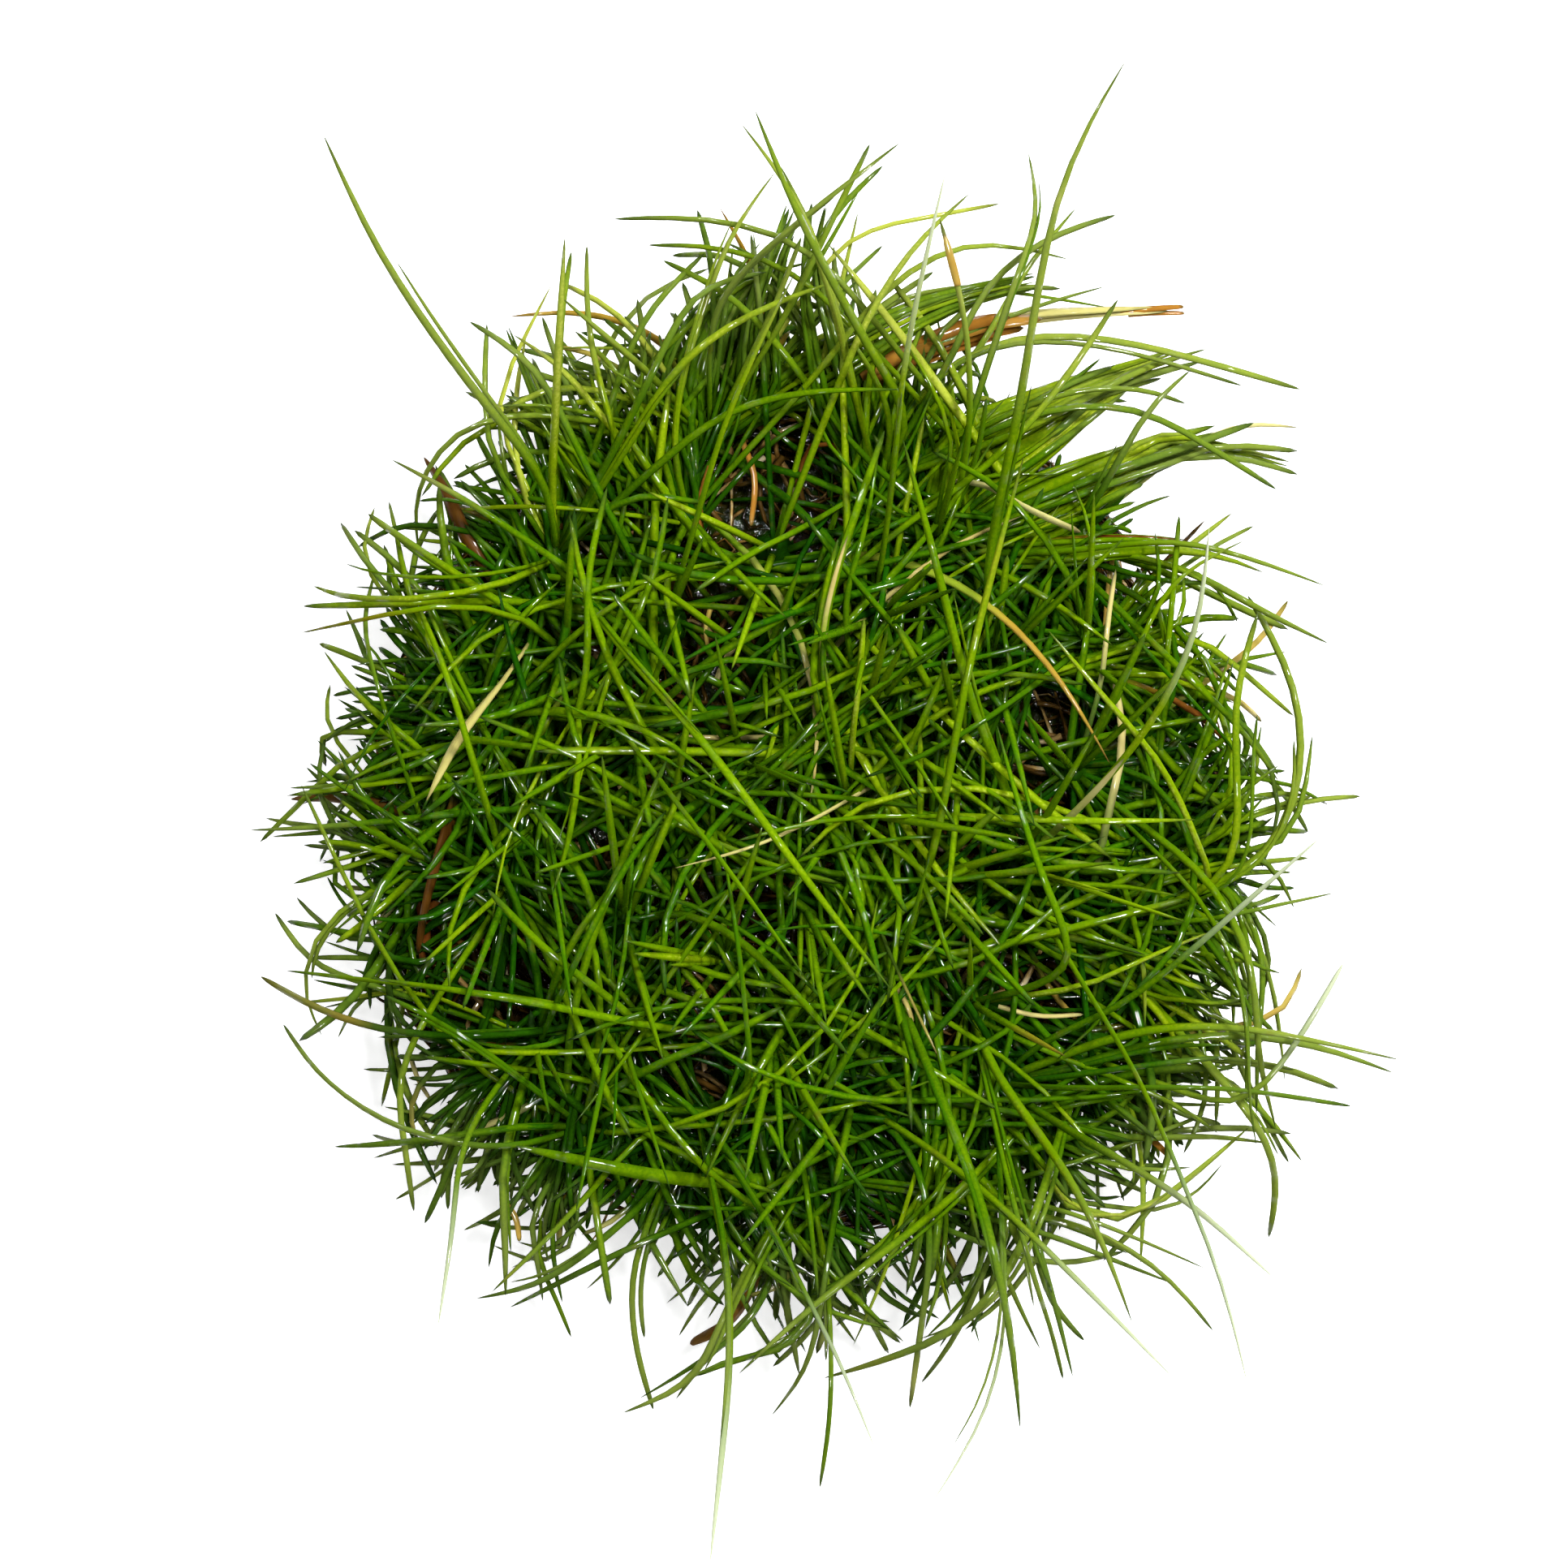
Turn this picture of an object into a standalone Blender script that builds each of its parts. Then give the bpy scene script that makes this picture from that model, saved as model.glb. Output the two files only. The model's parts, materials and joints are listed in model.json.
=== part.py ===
"""Dwarf hairgrass: one round portion of the plant, lifted out whole with its roots and laid on a table.

Metres, +Z up. The origin is the middle of the flat underside of the root mat, which the portion rests on.
Many small plants grow close together out of the root mat. Each is a tuft: a crown with its needle leaves
fused to it. The dead leaves are pieces of their own. Lengths are in millimetres until they are drawn.
"""

import math

import bmesh
import bpy
import numpy as np

MM = 0.001

# The root mat, a felt of fine roots the shape of a thick biscuit
MAT_RADIUS = 24.6
MAT_THICKNESS = 7.4
MAT_LUMP = 0.45
# How uneven its edge is: waves round it, each a share of the radius, a count and a phase in radians
MAT_WAVES = ((0.03, 2, 0.7), (0.02, 5, 2.1), (0.014, 9, 0.0))
# Where the edge is drawn in: the bearing and the spread in radians, and how deep as a share of the radius
MAT_DENTS = ((-0.45, 0.16, 0.09), (0.43, 0.39, 0.13), (-2.7, 0.25, 0.035))
MAT_SECTORS = 36
# How far out and how high the mat's turned edge goes, as shares of its radius and thickness, underside first
MAT_PROFILE = (
    (0.0, 0.0), (0.5, 0.0), (0.93, 0.0), (0.99, 0.18), (1.0, 0.42), (0.985, 0.66),
    (0.94, 0.85), (0.84, 0.95), (0.62, 1.0), (0.4, 1.0), (0.2, 1.0), (0.0, 1.0),
)

# The tufts
TUFT_COUNT = 42
TUFT_FIELD_RADIUS = 22.3
CROWN_RADIUS = 1.35
CROWN_NECK_RADIUS = 0.7
CROWN_HEIGHT = 2.3
CROWN_SIDES = 6
GOLDEN_ANGLE = math.pi * (3 - math.sqrt(5))

# The leaves: a three-edged needle, widest a third of the way up, with a fine point
SECTION_SHARE = 1.1
NEEDLE = ((0.0, 0.8), (0.3, 1.0), (0.6, 0.95), (0.85, 0.6), (1.0, 0.14))
MORE_POINTS_OVER = (10, 20, 30)
ARCH_BASE = 1.2
ARCH_SHARE = 0.08
GAP = 0.3
LEAF_GAP = 0.12
FINE_POINTS = 24
# How a leaf's arch and its tip's height may be changed until it is clear of the others
NUDGES = (0, 0.8, -0.8, 1.6, -1.6, 2.4, 3.2, 4, 4.8, 5.6, 6.4, 7.2)
TIP_NUDGES = (0, 1.2, -1.2, 2.4, -2.4, 3.6)
LOWEST_TIP = 1.5
# The tufts tried for a traced leaf, and what counts against one: standing aside from the leaf's line, off the
# usual distance behind its lower end, or in front of it, and each leaf that the tuft has already
TUFTS_TRIED = 4
USUAL_DISTANCE = 3
ASIDE, OFF_DISTANCE, IN_FRONT, EACH_LEAF = 1.5, 0.6, 8, 0.5
# A traced point closer to the crown than this is left out
TOO_NEAR = 2

# Short upright leaves that fill out a tuft with fewer than this
LEAST_LEAVES = 5
EXTRA_LEAN = (0.25, 0.95)
EXTRA_LENGTH = (9, 16)
EXTRA_WIDTH = (0.5, 0.8)
EXTRA_TRIES = 60
SEED = 41

# Leaves are traced in pixels, as an eye above sees them: the view's middle, its scale and where the eye is
VIEW_MIDDLE = 966
MM_PER_PIXEL = 0.0465
EYE_HEIGHT = 420
CANOPY_HEIGHT = 12
EYE_X, EYE_Y = -0.9, 1.6

# Leaves that stand out, each a width and a tip height in mm, then its pixels from the lower end to the tip
NORTH_LEAVES = (
    (0.85, 31, (700, 640), (600, 500), (525, 400), (460, 298), (398, 165)),
    (1.00, 27, (1120, 520), (1065, 420), (1012, 320), (965, 225), (930, 135)),
    (0.85, 30, (1215, 690), (1250, 540), (1275, 380), (1300, 250), (1345, 130), (1388, 73)),
    (0.60, 29, (1098, 610), (1115, 440), (1138, 330), (1165, 212)),
    (0.90, 22, (680, 610), (686, 480), (690, 390), (696, 292)),
    (0.75, 19, (1183, 600), (1196, 480), (1185, 370), (1158, 270)),
    (0.65, 20, (880, 380), (940, 310), (1000, 258), (1060, 218), (1110, 175)),
    (0.50, 22, (1010, 310), (950, 200), (913, 152)),
    (0.55, 14, (830, 520), (880, 340), (915, 265), (955, 212)),
    (0.55, 15, (1000, 330), (1035, 235), (1050, 200), (1072, 177)),
    (0.45, 12, (1035, 345), (985, 300), (900, 271), (755, 270)),
    (0.50, 12, (1190, 410), (1220, 345), (1265, 305), (1375, 265)),
    (0.50, 12, (1060, 400), (1124, 310), (1190, 297), (1318, 320)),
    (0.45, 9, (1238, 380), (1273, 300), (1277, 240), (1267, 188)),
    (0.60, 13, (1060, 410), (1115, 320), (1150, 275), (1195, 238)),
    (0.60, 14, (720, 570), (672, 470), (635, 432), (578, 396)),
    (0.50, 14, (757, 560), (745, 470), (719, 375), (723, 302)),
    (0.70, 16, (840, 520), (775, 435), (720, 400), (690, 365)),
    (0.50, 10, (606, 560), (597, 470), (600, 398)),
    (0.50, 12, (730, 500), (680, 440), (632, 412)),
    (0.50, 8, (710, 560), (640, 515), (572, 482)),
    (0.50, 9, (880, 360), (869, 290), (859, 258)),
    (0.80, 13, (800, 470), (830, 390), (880, 345), (945, 335)),
    (0.60, 9, (1030, 380), (1041, 305), (1057, 262)),
    (0.60, 8, (1020, 370), (1062, 322), (1088, 302)),
    (0.50, 8, (1235, 390), (1268, 325), (1300, 285), (1326, 256)),
    (0.50, 7, (1080, 395), (1145, 360), (1230, 358), (1380, 382)),
    (0.50, 8, (950, 345), (880, 321), (828, 315)),
)
EAST_LEAVES = (
    (1.00, 15, (1310, 1300), (1430, 1265), (1540, 1267), (1640, 1287), (1725, 1306)),
    (0.75, 24, (1290, 1280), (1380, 1240), (1440, 1195), (1520, 1125), (1627, 1032)),
    (0.80, 26, (1325, 1000), (1410, 905), (1450, 830), (1477, 765), (1490, 650)),
    (0.60, 10, (1150, 455), (1230, 420), (1320, 412), (1440, 434), (1603, 480)),
    (0.75, 12, (1320, 645), (1440, 695), (1540, 745), (1637, 793)),
    (0.90, 11, (1290, 685), (1400, 665), (1500, 676), (1633, 722)),
    (0.90, 9, (1280, 615), (1400, 570), (1480, 545), (1545, 521)),
    (0.60, 15, (1060, 690), (1180, 600), (1260, 540), (1320, 455), (1378, 368)),
    (0.80, 8, (1250, 535), (1350, 485), (1420, 450), (1487, 430)),
    (0.70, 7, (1330, 610), (1430, 565), (1520, 549), (1600, 556)),
    (0.55, 13, (1350, 620), (1400, 525), (1435, 485), (1468, 455)),
    (0.60, 8, (1300, 500), (1390, 500), (1480, 545), (1573, 603)),
    (0.60, 14, (1385, 850), (1420, 745), (1470, 700), (1533, 666)),
    (0.50, 7, (1430, 700), (1480, 662), (1518, 632)),
    (0.60, 6, (1440, 710), (1500, 671), (1545, 648)),
    (0.80, 12, (1480, 1095), (1550, 1065), (1590, 1010), (1604, 930), (1590, 830), (1537, 733)),
    (0.50, 7, (1500, 1020), (1560, 1000), (1610, 987), (1677, 981)),
    (0.70, 16, (1512, 1080), (1522, 930), (1524, 830), (1550, 755)),
    (0.80, 12, (1445, 1010), (1490, 905), (1520, 815)),
    (0.50, 8, (1400, 780), (1470, 785), (1530, 828), (1595, 883)),
    (0.60, 8, (1470, 840), (1535, 905), (1575, 962)),
    (0.50, 9, (1390, 1105), (1500, 1070), (1613, 1057)),
    (0.60, 12, (1370, 1152), (1480, 1134), (1580, 1114), (1645, 1100)),
    (0.55, 6, (1500, 1095), (1545, 1150), (1570, 1225), (1583, 1333)),
    (0.60, 14, (1530, 1360), (1600, 1280), (1632, 1235), (1655, 1187)),
    (0.80, 10, (1340, 1310), (1450, 1278), (1560, 1277), (1650, 1297), (1717, 1322)),
    (0.60, 8, (1370, 1312), (1480, 1304), (1570, 1313), (1650, 1342)),
    (0.60, 10, (1330, 1342), (1460, 1338), (1560, 1347), (1665, 1363)),
    (0.50, 7, (1370, 1397), (1480, 1387), (1592, 1397)),
    (0.55, 5, (1490, 1320), (1560, 1375), (1605, 1432)),
    (0.70, 9, (1515, 1110), (1545, 1210), (1550, 1300), (1572, 1390)),
    (0.70, 5, (1520, 1350), (1562, 1405), (1573, 1460), (1563, 1525)),
    (0.70, 8, (1340, 1515), (1440, 1465), (1500, 1425), (1540, 1388)),
)
SOUTH_LEAVES = (
    (1.00, 28, (878, 1400), (893, 1540), (899, 1690), (885, 1830), (875, 1925)),
    (0.85, 27, (1320, 1190), (1400, 1320), (1450, 1440), (1500, 1560), (1537, 1705)),
    (0.85, 25, (1235, 1345), (1330, 1400), (1430, 1458), (1500, 1510), (1570, 1575)),
    (0.70, 25, (1085, 1370), (1180, 1440), (1300, 1550), (1445, 1697)),
    (0.45, 28, (1235, 1500), (1238, 1640), (1215, 1740), (1145, 1857)),
    (0.60, 22, (945, 1500), (1000, 1610), (1040, 1690), (1078, 1785)),
    (0.60, 22, (578, 1390), (560, 1500), (548, 1580), (540, 1633)),
    (1.00, 20, (1225, 1320), (1290, 1410), (1345, 1500), (1395, 1630)),
    (1.00, 20, (1195, 1440), (1230, 1560), (1245, 1640), (1257, 1760)),
    (0.75, 18, (1160, 1490), (1060, 1560), (1000, 1610), (910, 1693)),
    (0.65, 9, (1020, 1570), (1023, 1700), (1022, 1750), (1010, 1833)),
    (0.60, 12, (1240, 1475), (1350, 1505), (1430, 1540), (1485, 1563)),
    (0.60, 8, (1270, 1495), (1380, 1530), (1440, 1575), (1495, 1640)),
    (0.55, 6, (1255, 1510), (1290, 1620), (1310, 1700)),
    (0.50, 8, (1270, 1500), (1303, 1620), (1322, 1697)),
    (0.55, 9, (1142, 1450), (1138, 1600), (1121, 1735)),
    (0.90, 8, (1255, 1550), (1180, 1640), (1100, 1672), (1015, 1698)),
    (0.60, 5, (1205, 1580), (1170, 1665), (1135, 1704)),
    (0.50, 7, (1012, 1600), (990, 1695), (950, 1745)),
    (0.80, 10, (905, 1590), (880, 1675), (830, 1712), (767, 1741)),
    (0.50, 5, (790, 1530), (777, 1620), (805, 1737)),
    (0.50, 4, (660, 1530), (688, 1605), (704, 1648)),
    (0.60, 11, (712, 1400), (738, 1520), (752, 1608)),
    (0.60, 7, (805, 1470), (700, 1560), (640, 1590), (587, 1600)),
    (0.55, 5, (770, 1540), (690, 1580), (628, 1611)),
    (0.60, 12, (795, 1395), (700, 1500), (605, 1593)),
    (0.80, 10, (620, 1430), (622, 1520), (623, 1598)),
    (0.50, 7, (575, 1390), (545, 1460), (523, 1508)),
    (0.50, 8, (500, 1300), (498, 1400), (510, 1493)),
    (0.45, 5, (580, 1415), (530, 1452), (487, 1478)),
    (0.50, 10, (1388, 1350), (1408, 1440), (1405, 1558)),
)
WEST_LEAVES = (
    (0.60, 9, (690, 995), (520, 1007), (400, 1019), (307, 1023)),
    (0.60, 7, (700, 1268), (540, 1277), (420, 1255), (321, 1203)),
    (0.60, 6, (590, 1418), (500, 1394), (410, 1340), (349, 1262)),
    (0.90, 12, (500, 1070), (465, 1190), (420, 1245), (368, 1283)),
    (0.55, 12, (610, 745), (480, 758), (370, 780)),
    (0.60, 10, (665, 742), (500, 744), (373, 747)),
    (0.60, 13, (725, 718), (600, 632), (520, 587), (482, 566)),
    (0.65, 10, (650, 765), (520, 680), (453, 633)),
    (0.60, 8, (605, 1005), (500, 905), (430, 850), (399, 802)),
    (0.45, 8, (510, 760), (450, 692), (419, 643)),
    (0.50, 7, (507, 745), (490, 650), (479, 617)),
    (0.50, 7, (590, 730), (450, 738), (386, 722)),
    (0.50, 8, (462, 835), (448, 760), (463, 702)),
    (0.50, 6, (550, 885), (450, 815), (393, 793)),
    (0.45, 6, (445, 925), (370, 990), (320, 1038)),
    (0.45, 11, (590, 1005), (490, 1048), (361, 1089)),
    (0.50, 4, (490, 1158), (405, 1148), (365, 1105)),
    (0.45, 5, (440, 1207), (380, 1182), (339, 1125)),
    (0.50, 5, (505, 1065), (420, 1118), (374, 1200), (397, 1277)),
    (0.50, 8, (650, 1230), (500, 1213), (353, 1196)),
    (0.55, 6, (630, 1388), (520, 1406), (411, 1413)),
    (0.45, 4, (495, 1240), (484, 1310), (470, 1364)),
    (0.60, 6, (520, 905), (430, 900), (390, 907), (383, 930), (402, 945)),
    (0.45, 6, (600, 505), (560, 540), (522, 590), (505, 640), (518, 690)),
)
TOP_LEAVES = (
    (1.20, 17, (1035, 925), (1010, 830), (1025, 720), (1055, 630), (1090, 530)),
    (0.80, 22, (695, 825), (800, 945), (900, 1075), (992, 1205)),
    (0.85, 19, (755, 785), (880, 930), (990, 1080), (1100, 1222)),
    (0.90, 21, (1250, 1000), (1213, 915), (1180, 800), (1150, 680), (1112, 540)),
    (0.75, 21, (1142, 1210), (1160, 1010), (1190, 835), (1262, 560)),
    (0.60, 23, (830, 745), (870, 600), (905, 490), (980, 335)),
    (0.90, 19, (840, 1125), (920, 1165), (990, 1235), (1045, 1300)),
    (0.85, 17, (995, 972), (1090, 1035), (1150, 1085), (1212, 1152)),
    (0.70, 18, (1320, 1190), (1275, 1060), (1228, 892)),
    (0.80, 18, (965, 1415), (1005, 1365), (1050, 1290), (1092, 1222)),
    (0.70, 17, (820, 565), (900, 505), (1000, 482), (1110, 480)),
    (1.10, 15, (885, 1457), (760, 1440), (680, 1420), (635, 1412)),
    (0.80, 16, (805, 1278), (700, 1190), (650, 1155), (600, 1095)),
    (0.80, 16, (770, 1330), (870, 1288), (965, 1240)),
    (0.70, 16, (925, 1335), (915, 1230), (905, 1130), (890, 1040)),
    (0.70, 14, (790, 1262), (640, 1232), (455, 1205)),
    (0.70, 14, (650, 1335), (560, 1270), (470, 1225)),
    (0.75, 15, (820, 475), (880, 402), (950, 377), (1035, 345)),
    (0.70, 16, (870, 815), (960, 765), (1025, 715)),
    (0.60, 15, (722, 835), (725, 700), (748, 600)),
    (0.60, 14, (574, 908), (550, 830), (515, 745)),
)
LEAVES = NORTH_LEAVES + EAST_LEAVES + SOUTH_LEAVES + WEST_LEAVES + TOP_LEAVES

# Dead leaves, tan, gold or rust, in the same form
DEAD_LEAVES = (
    (0.90, 5, (540, 1010), (430, 983), (358, 985)),
    (0.70, 17, (690, 770), (608, 855), (572, 895), (550, 955), (525, 988)),
    (0.50, 19, (1090, 960), (1025, 998), (905, 1053), (830, 1070)),
    (0.65, 16, (1070, 682), (1200, 730), (1300, 830), (1368, 942)),
    (0.70, 18, (1090, 1160), (1115, 1215), (1130, 1250), (1155, 1300)),
    (0.70, 17, (1160, 580), (1215, 598), (1275, 632), (1332, 656)),
    (0.60, 8, (870, 470), (830, 432), (770, 398), (700, 384), (628, 390)),
    (0.80, 7, (590, 690), (545, 595), (522, 563)),
    (1.00, 4, (940, 1560), (890, 1640), (850, 1655)),
    (1.20, 9, (545, 1040), (525, 1110), (515, 1175)),
    (0.50, 9, (940, 390), (908, 288), (887, 256)),
    (1.30, 6, (1100, 440), (1200, 396), (1300, 386), (1458, 376)),
)

# Colours, linear red, green and blue: green leaves run from young to old, and each dead leaf has its own
YOUNG_COLOUR = (0.13, 0.32, 0.018)
OLD_COLOUR = (0.06, 0.17, 0.012)
TAN, GOLD, RUST, STRAW = (0.4, 0.26, 0.11), (0.5, 0.2, 0.02), (0.17, 0.045, 0.008), (0.62, 0.5, 0.26)
DEAD_COLOURS = (RUST, TAN, TAN, GOLD, TAN, STRAW, GOLD, RUST, RUST, RUST, GOLD, TAN)
ROOT_COLOUR = (0.07, 0.045, 0.02)
LEAF_ROUGHNESS = 0.32
DEAD_ROUGHNESS = 0.5


def spot(px, py, height):
    """The place, in mm, of what the view from above shows at a pixel, if it is that high."""
    scale = MM_PER_PIXEL * (EYE_HEIGHT - height) / (EYE_HEIGHT - CANOPY_HEIGHT)
    return np.array((EYE_X + (px - VIEW_MIDDLE) * scale, EYE_Y - (py - VIEW_MIDDLE) * scale, height))


def mat_edge(bearing):
    """The mat's radius at a bearing in radians: nearly round, with a few broad dents."""
    waves = sum(share * np.sin(count * bearing + phase) for share, count, phase in MAT_WAVES)
    dents = sum(depth * np.exp(-(((bearing - middle) / spread) ** 2)) for middle, spread, depth in MAT_DENTS)
    return MAT_RADIUS * (1 + waves - dents)


def mat_lump(x, y):
    """How far the matted roots bulge above or below the turned shape, in mm."""
    return MAT_LUMP * (np.sin(0.55 * x + 0.4) * np.cos(0.62 * y - 0.3) + 0.5 * np.sin(1.1 * x - 0.8 * y))


def mat_top(x, y):
    """The height of the mat's upper side, or 0 beyond its edge."""
    share = np.hypot(x, y) / mat_edge(np.arctan2(y, x))
    outs, ups = zip(*[(out, up) for out, up in reversed(MAT_PROFILE) if up > 0.3])
    height = np.interp(share, outs, ups) * MAT_THICKNESS + mat_lump(x, y)
    return np.where(share < 1, height, 0.0)


def crown_places():
    """Where the tufts stand, from a sunflower's spacing with the rows broken up."""
    places = []
    for n in range(TUFT_COUNT):
        radius = TUFT_FIELD_RADIUS * math.sqrt((n + 0.6) / TUFT_COUNT)
        bearing = n * GOLDEN_ANGLE + 0.06 * math.sin(2.7 * n)
        radius += 0.2 * math.sin(1.9 * n + 1.0)
        x, y = radius * math.cos(bearing), radius * math.sin(bearing)
        aside = CROWN_RADIUS * np.array((-1, 0, 1))
        around = mat_top(x + aside[:, None], y + aside)
        places.append(np.array((x, y, around.max() + GAP)))
    return places


def smooth(knots, count):
    """That many points, evenly spaced along a Catmull-Rom curve through the knots."""
    knots = np.asarray(knots, float)
    ends = np.vstack((2 * knots[0] - knots[1], knots, 2 * knots[-1] - knots[-2]))
    t = np.linspace(0, 1, 12, endpoint=False)[:, None]
    dense = []
    for a, b, c, d in zip(ends[:-3], ends[1:-2], ends[2:-1], ends[3:]):
        dense.append(
            0.5 * (2 * b + (c - a) * t + (2 * a - 5 * b + 4 * c - d) * t**2 + (3 * b - a - 3 * c + d) * t**3)
        )
    dense = np.vstack((*dense, knots[-1:]))
    along = np.concatenate(([0], np.cumsum(np.linalg.norm(np.diff(dense, axis=0), axis=1))))
    wanted = np.linspace(0, along[-1], count)
    return np.stack([np.interp(wanted, along, dense[:, k]) for k in range(3)], axis=1)


def needle_radii(width, count):
    """The leaf's radius at each of its points, from the crown to the tip."""
    shares, sizes = zip(*NEEDLE)
    return SECTION_SHARE * width / 2 * np.interp(np.linspace(0, 1, count), shares, sizes)


def leaf_points(root, tip, pixels, arch):
    """The leaf's line from its root through the traced pixels, rising in an arch to its tip's height."""
    flat = np.array([root[:2]] + [spot(px, py, CANOPY_HEIGHT)[:2] for px, py in pixels])
    steps = np.linalg.norm(np.diff(flat, axis=0), axis=1)
    share = np.concatenate(([0], np.cumsum(steps))) / steps.sum()
    heights = root[2] + (tip - root[2]) * share + arch * 4 * share * (1 - share)
    knots = [root] + [spot(px, py, high) for (px, py), high in zip(pixels, heights[1:])]
    count = 4 + sum(steps.sum() > limit for limit in MORE_POINTS_OVER)
    return smooth(knots, count)


def apart(a0, a1, b0, b1):
    """The least distance between straight pieces a0-a1 and b0-b1, for arrays of them."""
    da, db, r = a1 - a0, b1 - b0, a0 - b0
    aa, bb, ab = (da * da).sum(-1), (db * db).sum(-1), (da * db).sum(-1)
    ar, br = (da * r).sum(-1), (db * r).sum(-1)
    across = aa * bb - ab * ab
    s = np.clip((ab * br - ar * bb) / np.where(across > 1e-9, across, 1e9), 0, 1)
    t = np.clip((ab * s + br) / bb, 0, 1)
    s = np.clip((ab * t - ar) / aa, 0, 1)
    return np.linalg.norm(r + da * s[..., None] - db * t[..., None], axis=-1)


class Crowd:
    """What already stands on the mat: straight lengths with a radius and the number of their piece."""

    def __init__(self):
        self.starts, self.ends = np.empty((0, 3)), np.empty((0, 3))
        self.radii, self.names = np.empty(0), np.empty(0, int)

    def add(self, points, radii, name):
        self.starts = np.vstack((self.starts, points[:-1]))
        self.ends = np.vstack((self.ends, points[1:]))
        self.radii = np.concatenate((self.radii, np.maximum(radii[:-1], radii[1:])))
        self.names = np.concatenate((self.names, np.full(len(points) - 1, name)))

    def leaves_room(self, points, radii, name):
        """True if a tube there is clear of the other pieces, of the mat and of the table."""
        fine = smooth(points, FINE_POINTS)
        thick = np.interp(np.linspace(0, 1, FINE_POINTS), np.linspace(0, 1, len(radii)), radii)
        beyond_crown = np.hypot(*(fine - fine[0])[:, :2].T) > CROWN_RADIUS
        room_below = fine[:, 2] - thick - mat_top(fine[:, 0], fine[:, 1])
        if (room_below[beyond_crown] < GAP).any() or (fine[:, 2] - thick < GAP).any():
            return False
        other = self.names != name
        if not other.any():
            return True
        gap = apart(points[:-1, None], points[1:, None], self.starts[other][None], self.ends[other][None])
        size = np.maximum(radii[:-1], radii[1:])[:, None] + self.radii[other][None]
        return bool((gap - size > LEAF_GAP).all())


def likely_crowns(crowns, counts, pixels):
    """The tufts that a traced leaf may belong to: behind its lower end, in line with it, and not yet full."""
    first, second = (spot(px, py, CANOPY_HEIGHT)[:2] for px, py in pixels[:2])
    heading = (second - first) / np.linalg.norm(second - first)
    costs = []
    for crown, count in zip(crowns, counts):
        back = first - crown[:2]
        along = back @ heading
        aside = np.linalg.norm(back - along * heading)
        behind = OFF_DISTANCE * abs(along - USUAL_DISTANCE) + (IN_FRONT if along < 0 else 0)
        costs.append(ASIDE * aside + behind + EACH_LEAF * count)
    return [int(n) for n in np.argsort(costs)[:TUFTS_TRIED]]


def settle(crowd, root, row, name):
    """A traced leaf's points and radii, its arch and tip nudged until it is clear of the crowd, or None."""
    width, tip, *pixels = row
    if np.linalg.norm(spot(*pixels[0], CANOPY_HEIGHT)[:2] - root[:2]) < TOO_NEAR:
        pixels = pixels[1:]
    reach = np.linalg.norm(spot(*pixels[-1], CANOPY_HEIGHT)[:2] - root[:2])
    for tip_nudge in TIP_NUDGES:
        for nudge in NUDGES:
            arch = ARCH_BASE + ARCH_SHARE * reach + nudge
            points = leaf_points(root, max(tip + tip_nudge, LOWEST_TIP), pixels, arch)
            radii = needle_radii(width, len(points))
            if crowd.leaves_room(points, radii, name):
                return points, radii
    return None


def extra_leaf(crowd, rng, root, name):
    """One short upright leaf to fill out a tuft, clear of the crowd, or None."""
    for _ in range(EXTRA_TRIES):
        bearing, lean = rng.uniform(0, 2 * math.pi), rng.uniform(*EXTRA_LEAN)
        length, width = rng.uniform(*EXTRA_LENGTH), rng.uniform(*EXTRA_WIDTH)
        out = np.array((math.cos(bearing), math.sin(bearing), 0.0))
        middle = root + length * 0.5 * (out * math.sin(lean * 0.7) + np.array((0, 0, math.cos(lean * 0.7))))
        end = middle + length * 0.5 * (out * math.sin(lean * 1.3) + np.array((0, 0, math.cos(lean * 1.3))))
        points = smooth((root, middle, end), 4)
        radii = needle_radii(width, len(points))
        if crowd.leaves_room(points, radii, name):
            return points, radii
    return None


def grow():
    """The whole plant as lines: crowns, each tuft's leaves and the dead leaves."""
    rng = np.random.default_rng(SEED)
    crowd, crowns = Crowd(), crown_places()
    for n, crown in enumerate(crowns):
        column = np.array((crown + (0, 0, 0.3), crown + (0, 0, CROWN_HEIGHT - 0.3)))
        crowd.add(column, np.full(2, CROWN_RADIUS), n)
    counts = [0] * TUFT_COUNT
    leaves = [[] for _ in crowns]
    dead = []
    for n, row in enumerate(DEAD_LEAVES):
        first = spot(*row[2], CANOPY_HEIGHT)
        for near in likely_crowns(crowns, counts, row[2:]):
            side = first[:2] - crowns[near][:2]
            x, y = crowns[near][:2] + side / np.linalg.norm(side) * (CROWN_RADIUS + row[0] + GAP)
            root = np.array((x, y, float(mat_top(x, y)) + GAP + row[0] * 0.75))
            grown = settle(crowd, root, row, TUFT_COUNT + n)
            if grown:
                crowd.add(*grown, TUFT_COUNT + n)
                dead.append(grown)
                break
        else:
            print("no room for dead leaf", row)
    for row in LEAVES:
        for n in likely_crowns(crowns, counts, row[2:]):
            grown = settle(crowd, crowns[n] + (0, 0, CROWN_HEIGHT * 0.5), row, n)
            if grown:
                crowd.add(*grown, n)
                leaves[n].append(grown)
                counts[n] += 1
                break
        else:
            print("no room for leaf", row)
    for n, crown in enumerate(crowns):
        while len(leaves[n]) < LEAST_LEAVES:
            grown = extra_leaf(crowd, rng, crown + (0, 0, CROWN_HEIGHT * 0.5), n)
            if grown is None:
                break
            crowd.add(*grown, n)
            leaves[n].append(grown)
    return crowns, leaves, dead


def new_collection(name):
    made = bpy.data.collections.new(name)
    bpy.context.scene.collection.children.link(made)
    return made


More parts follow.
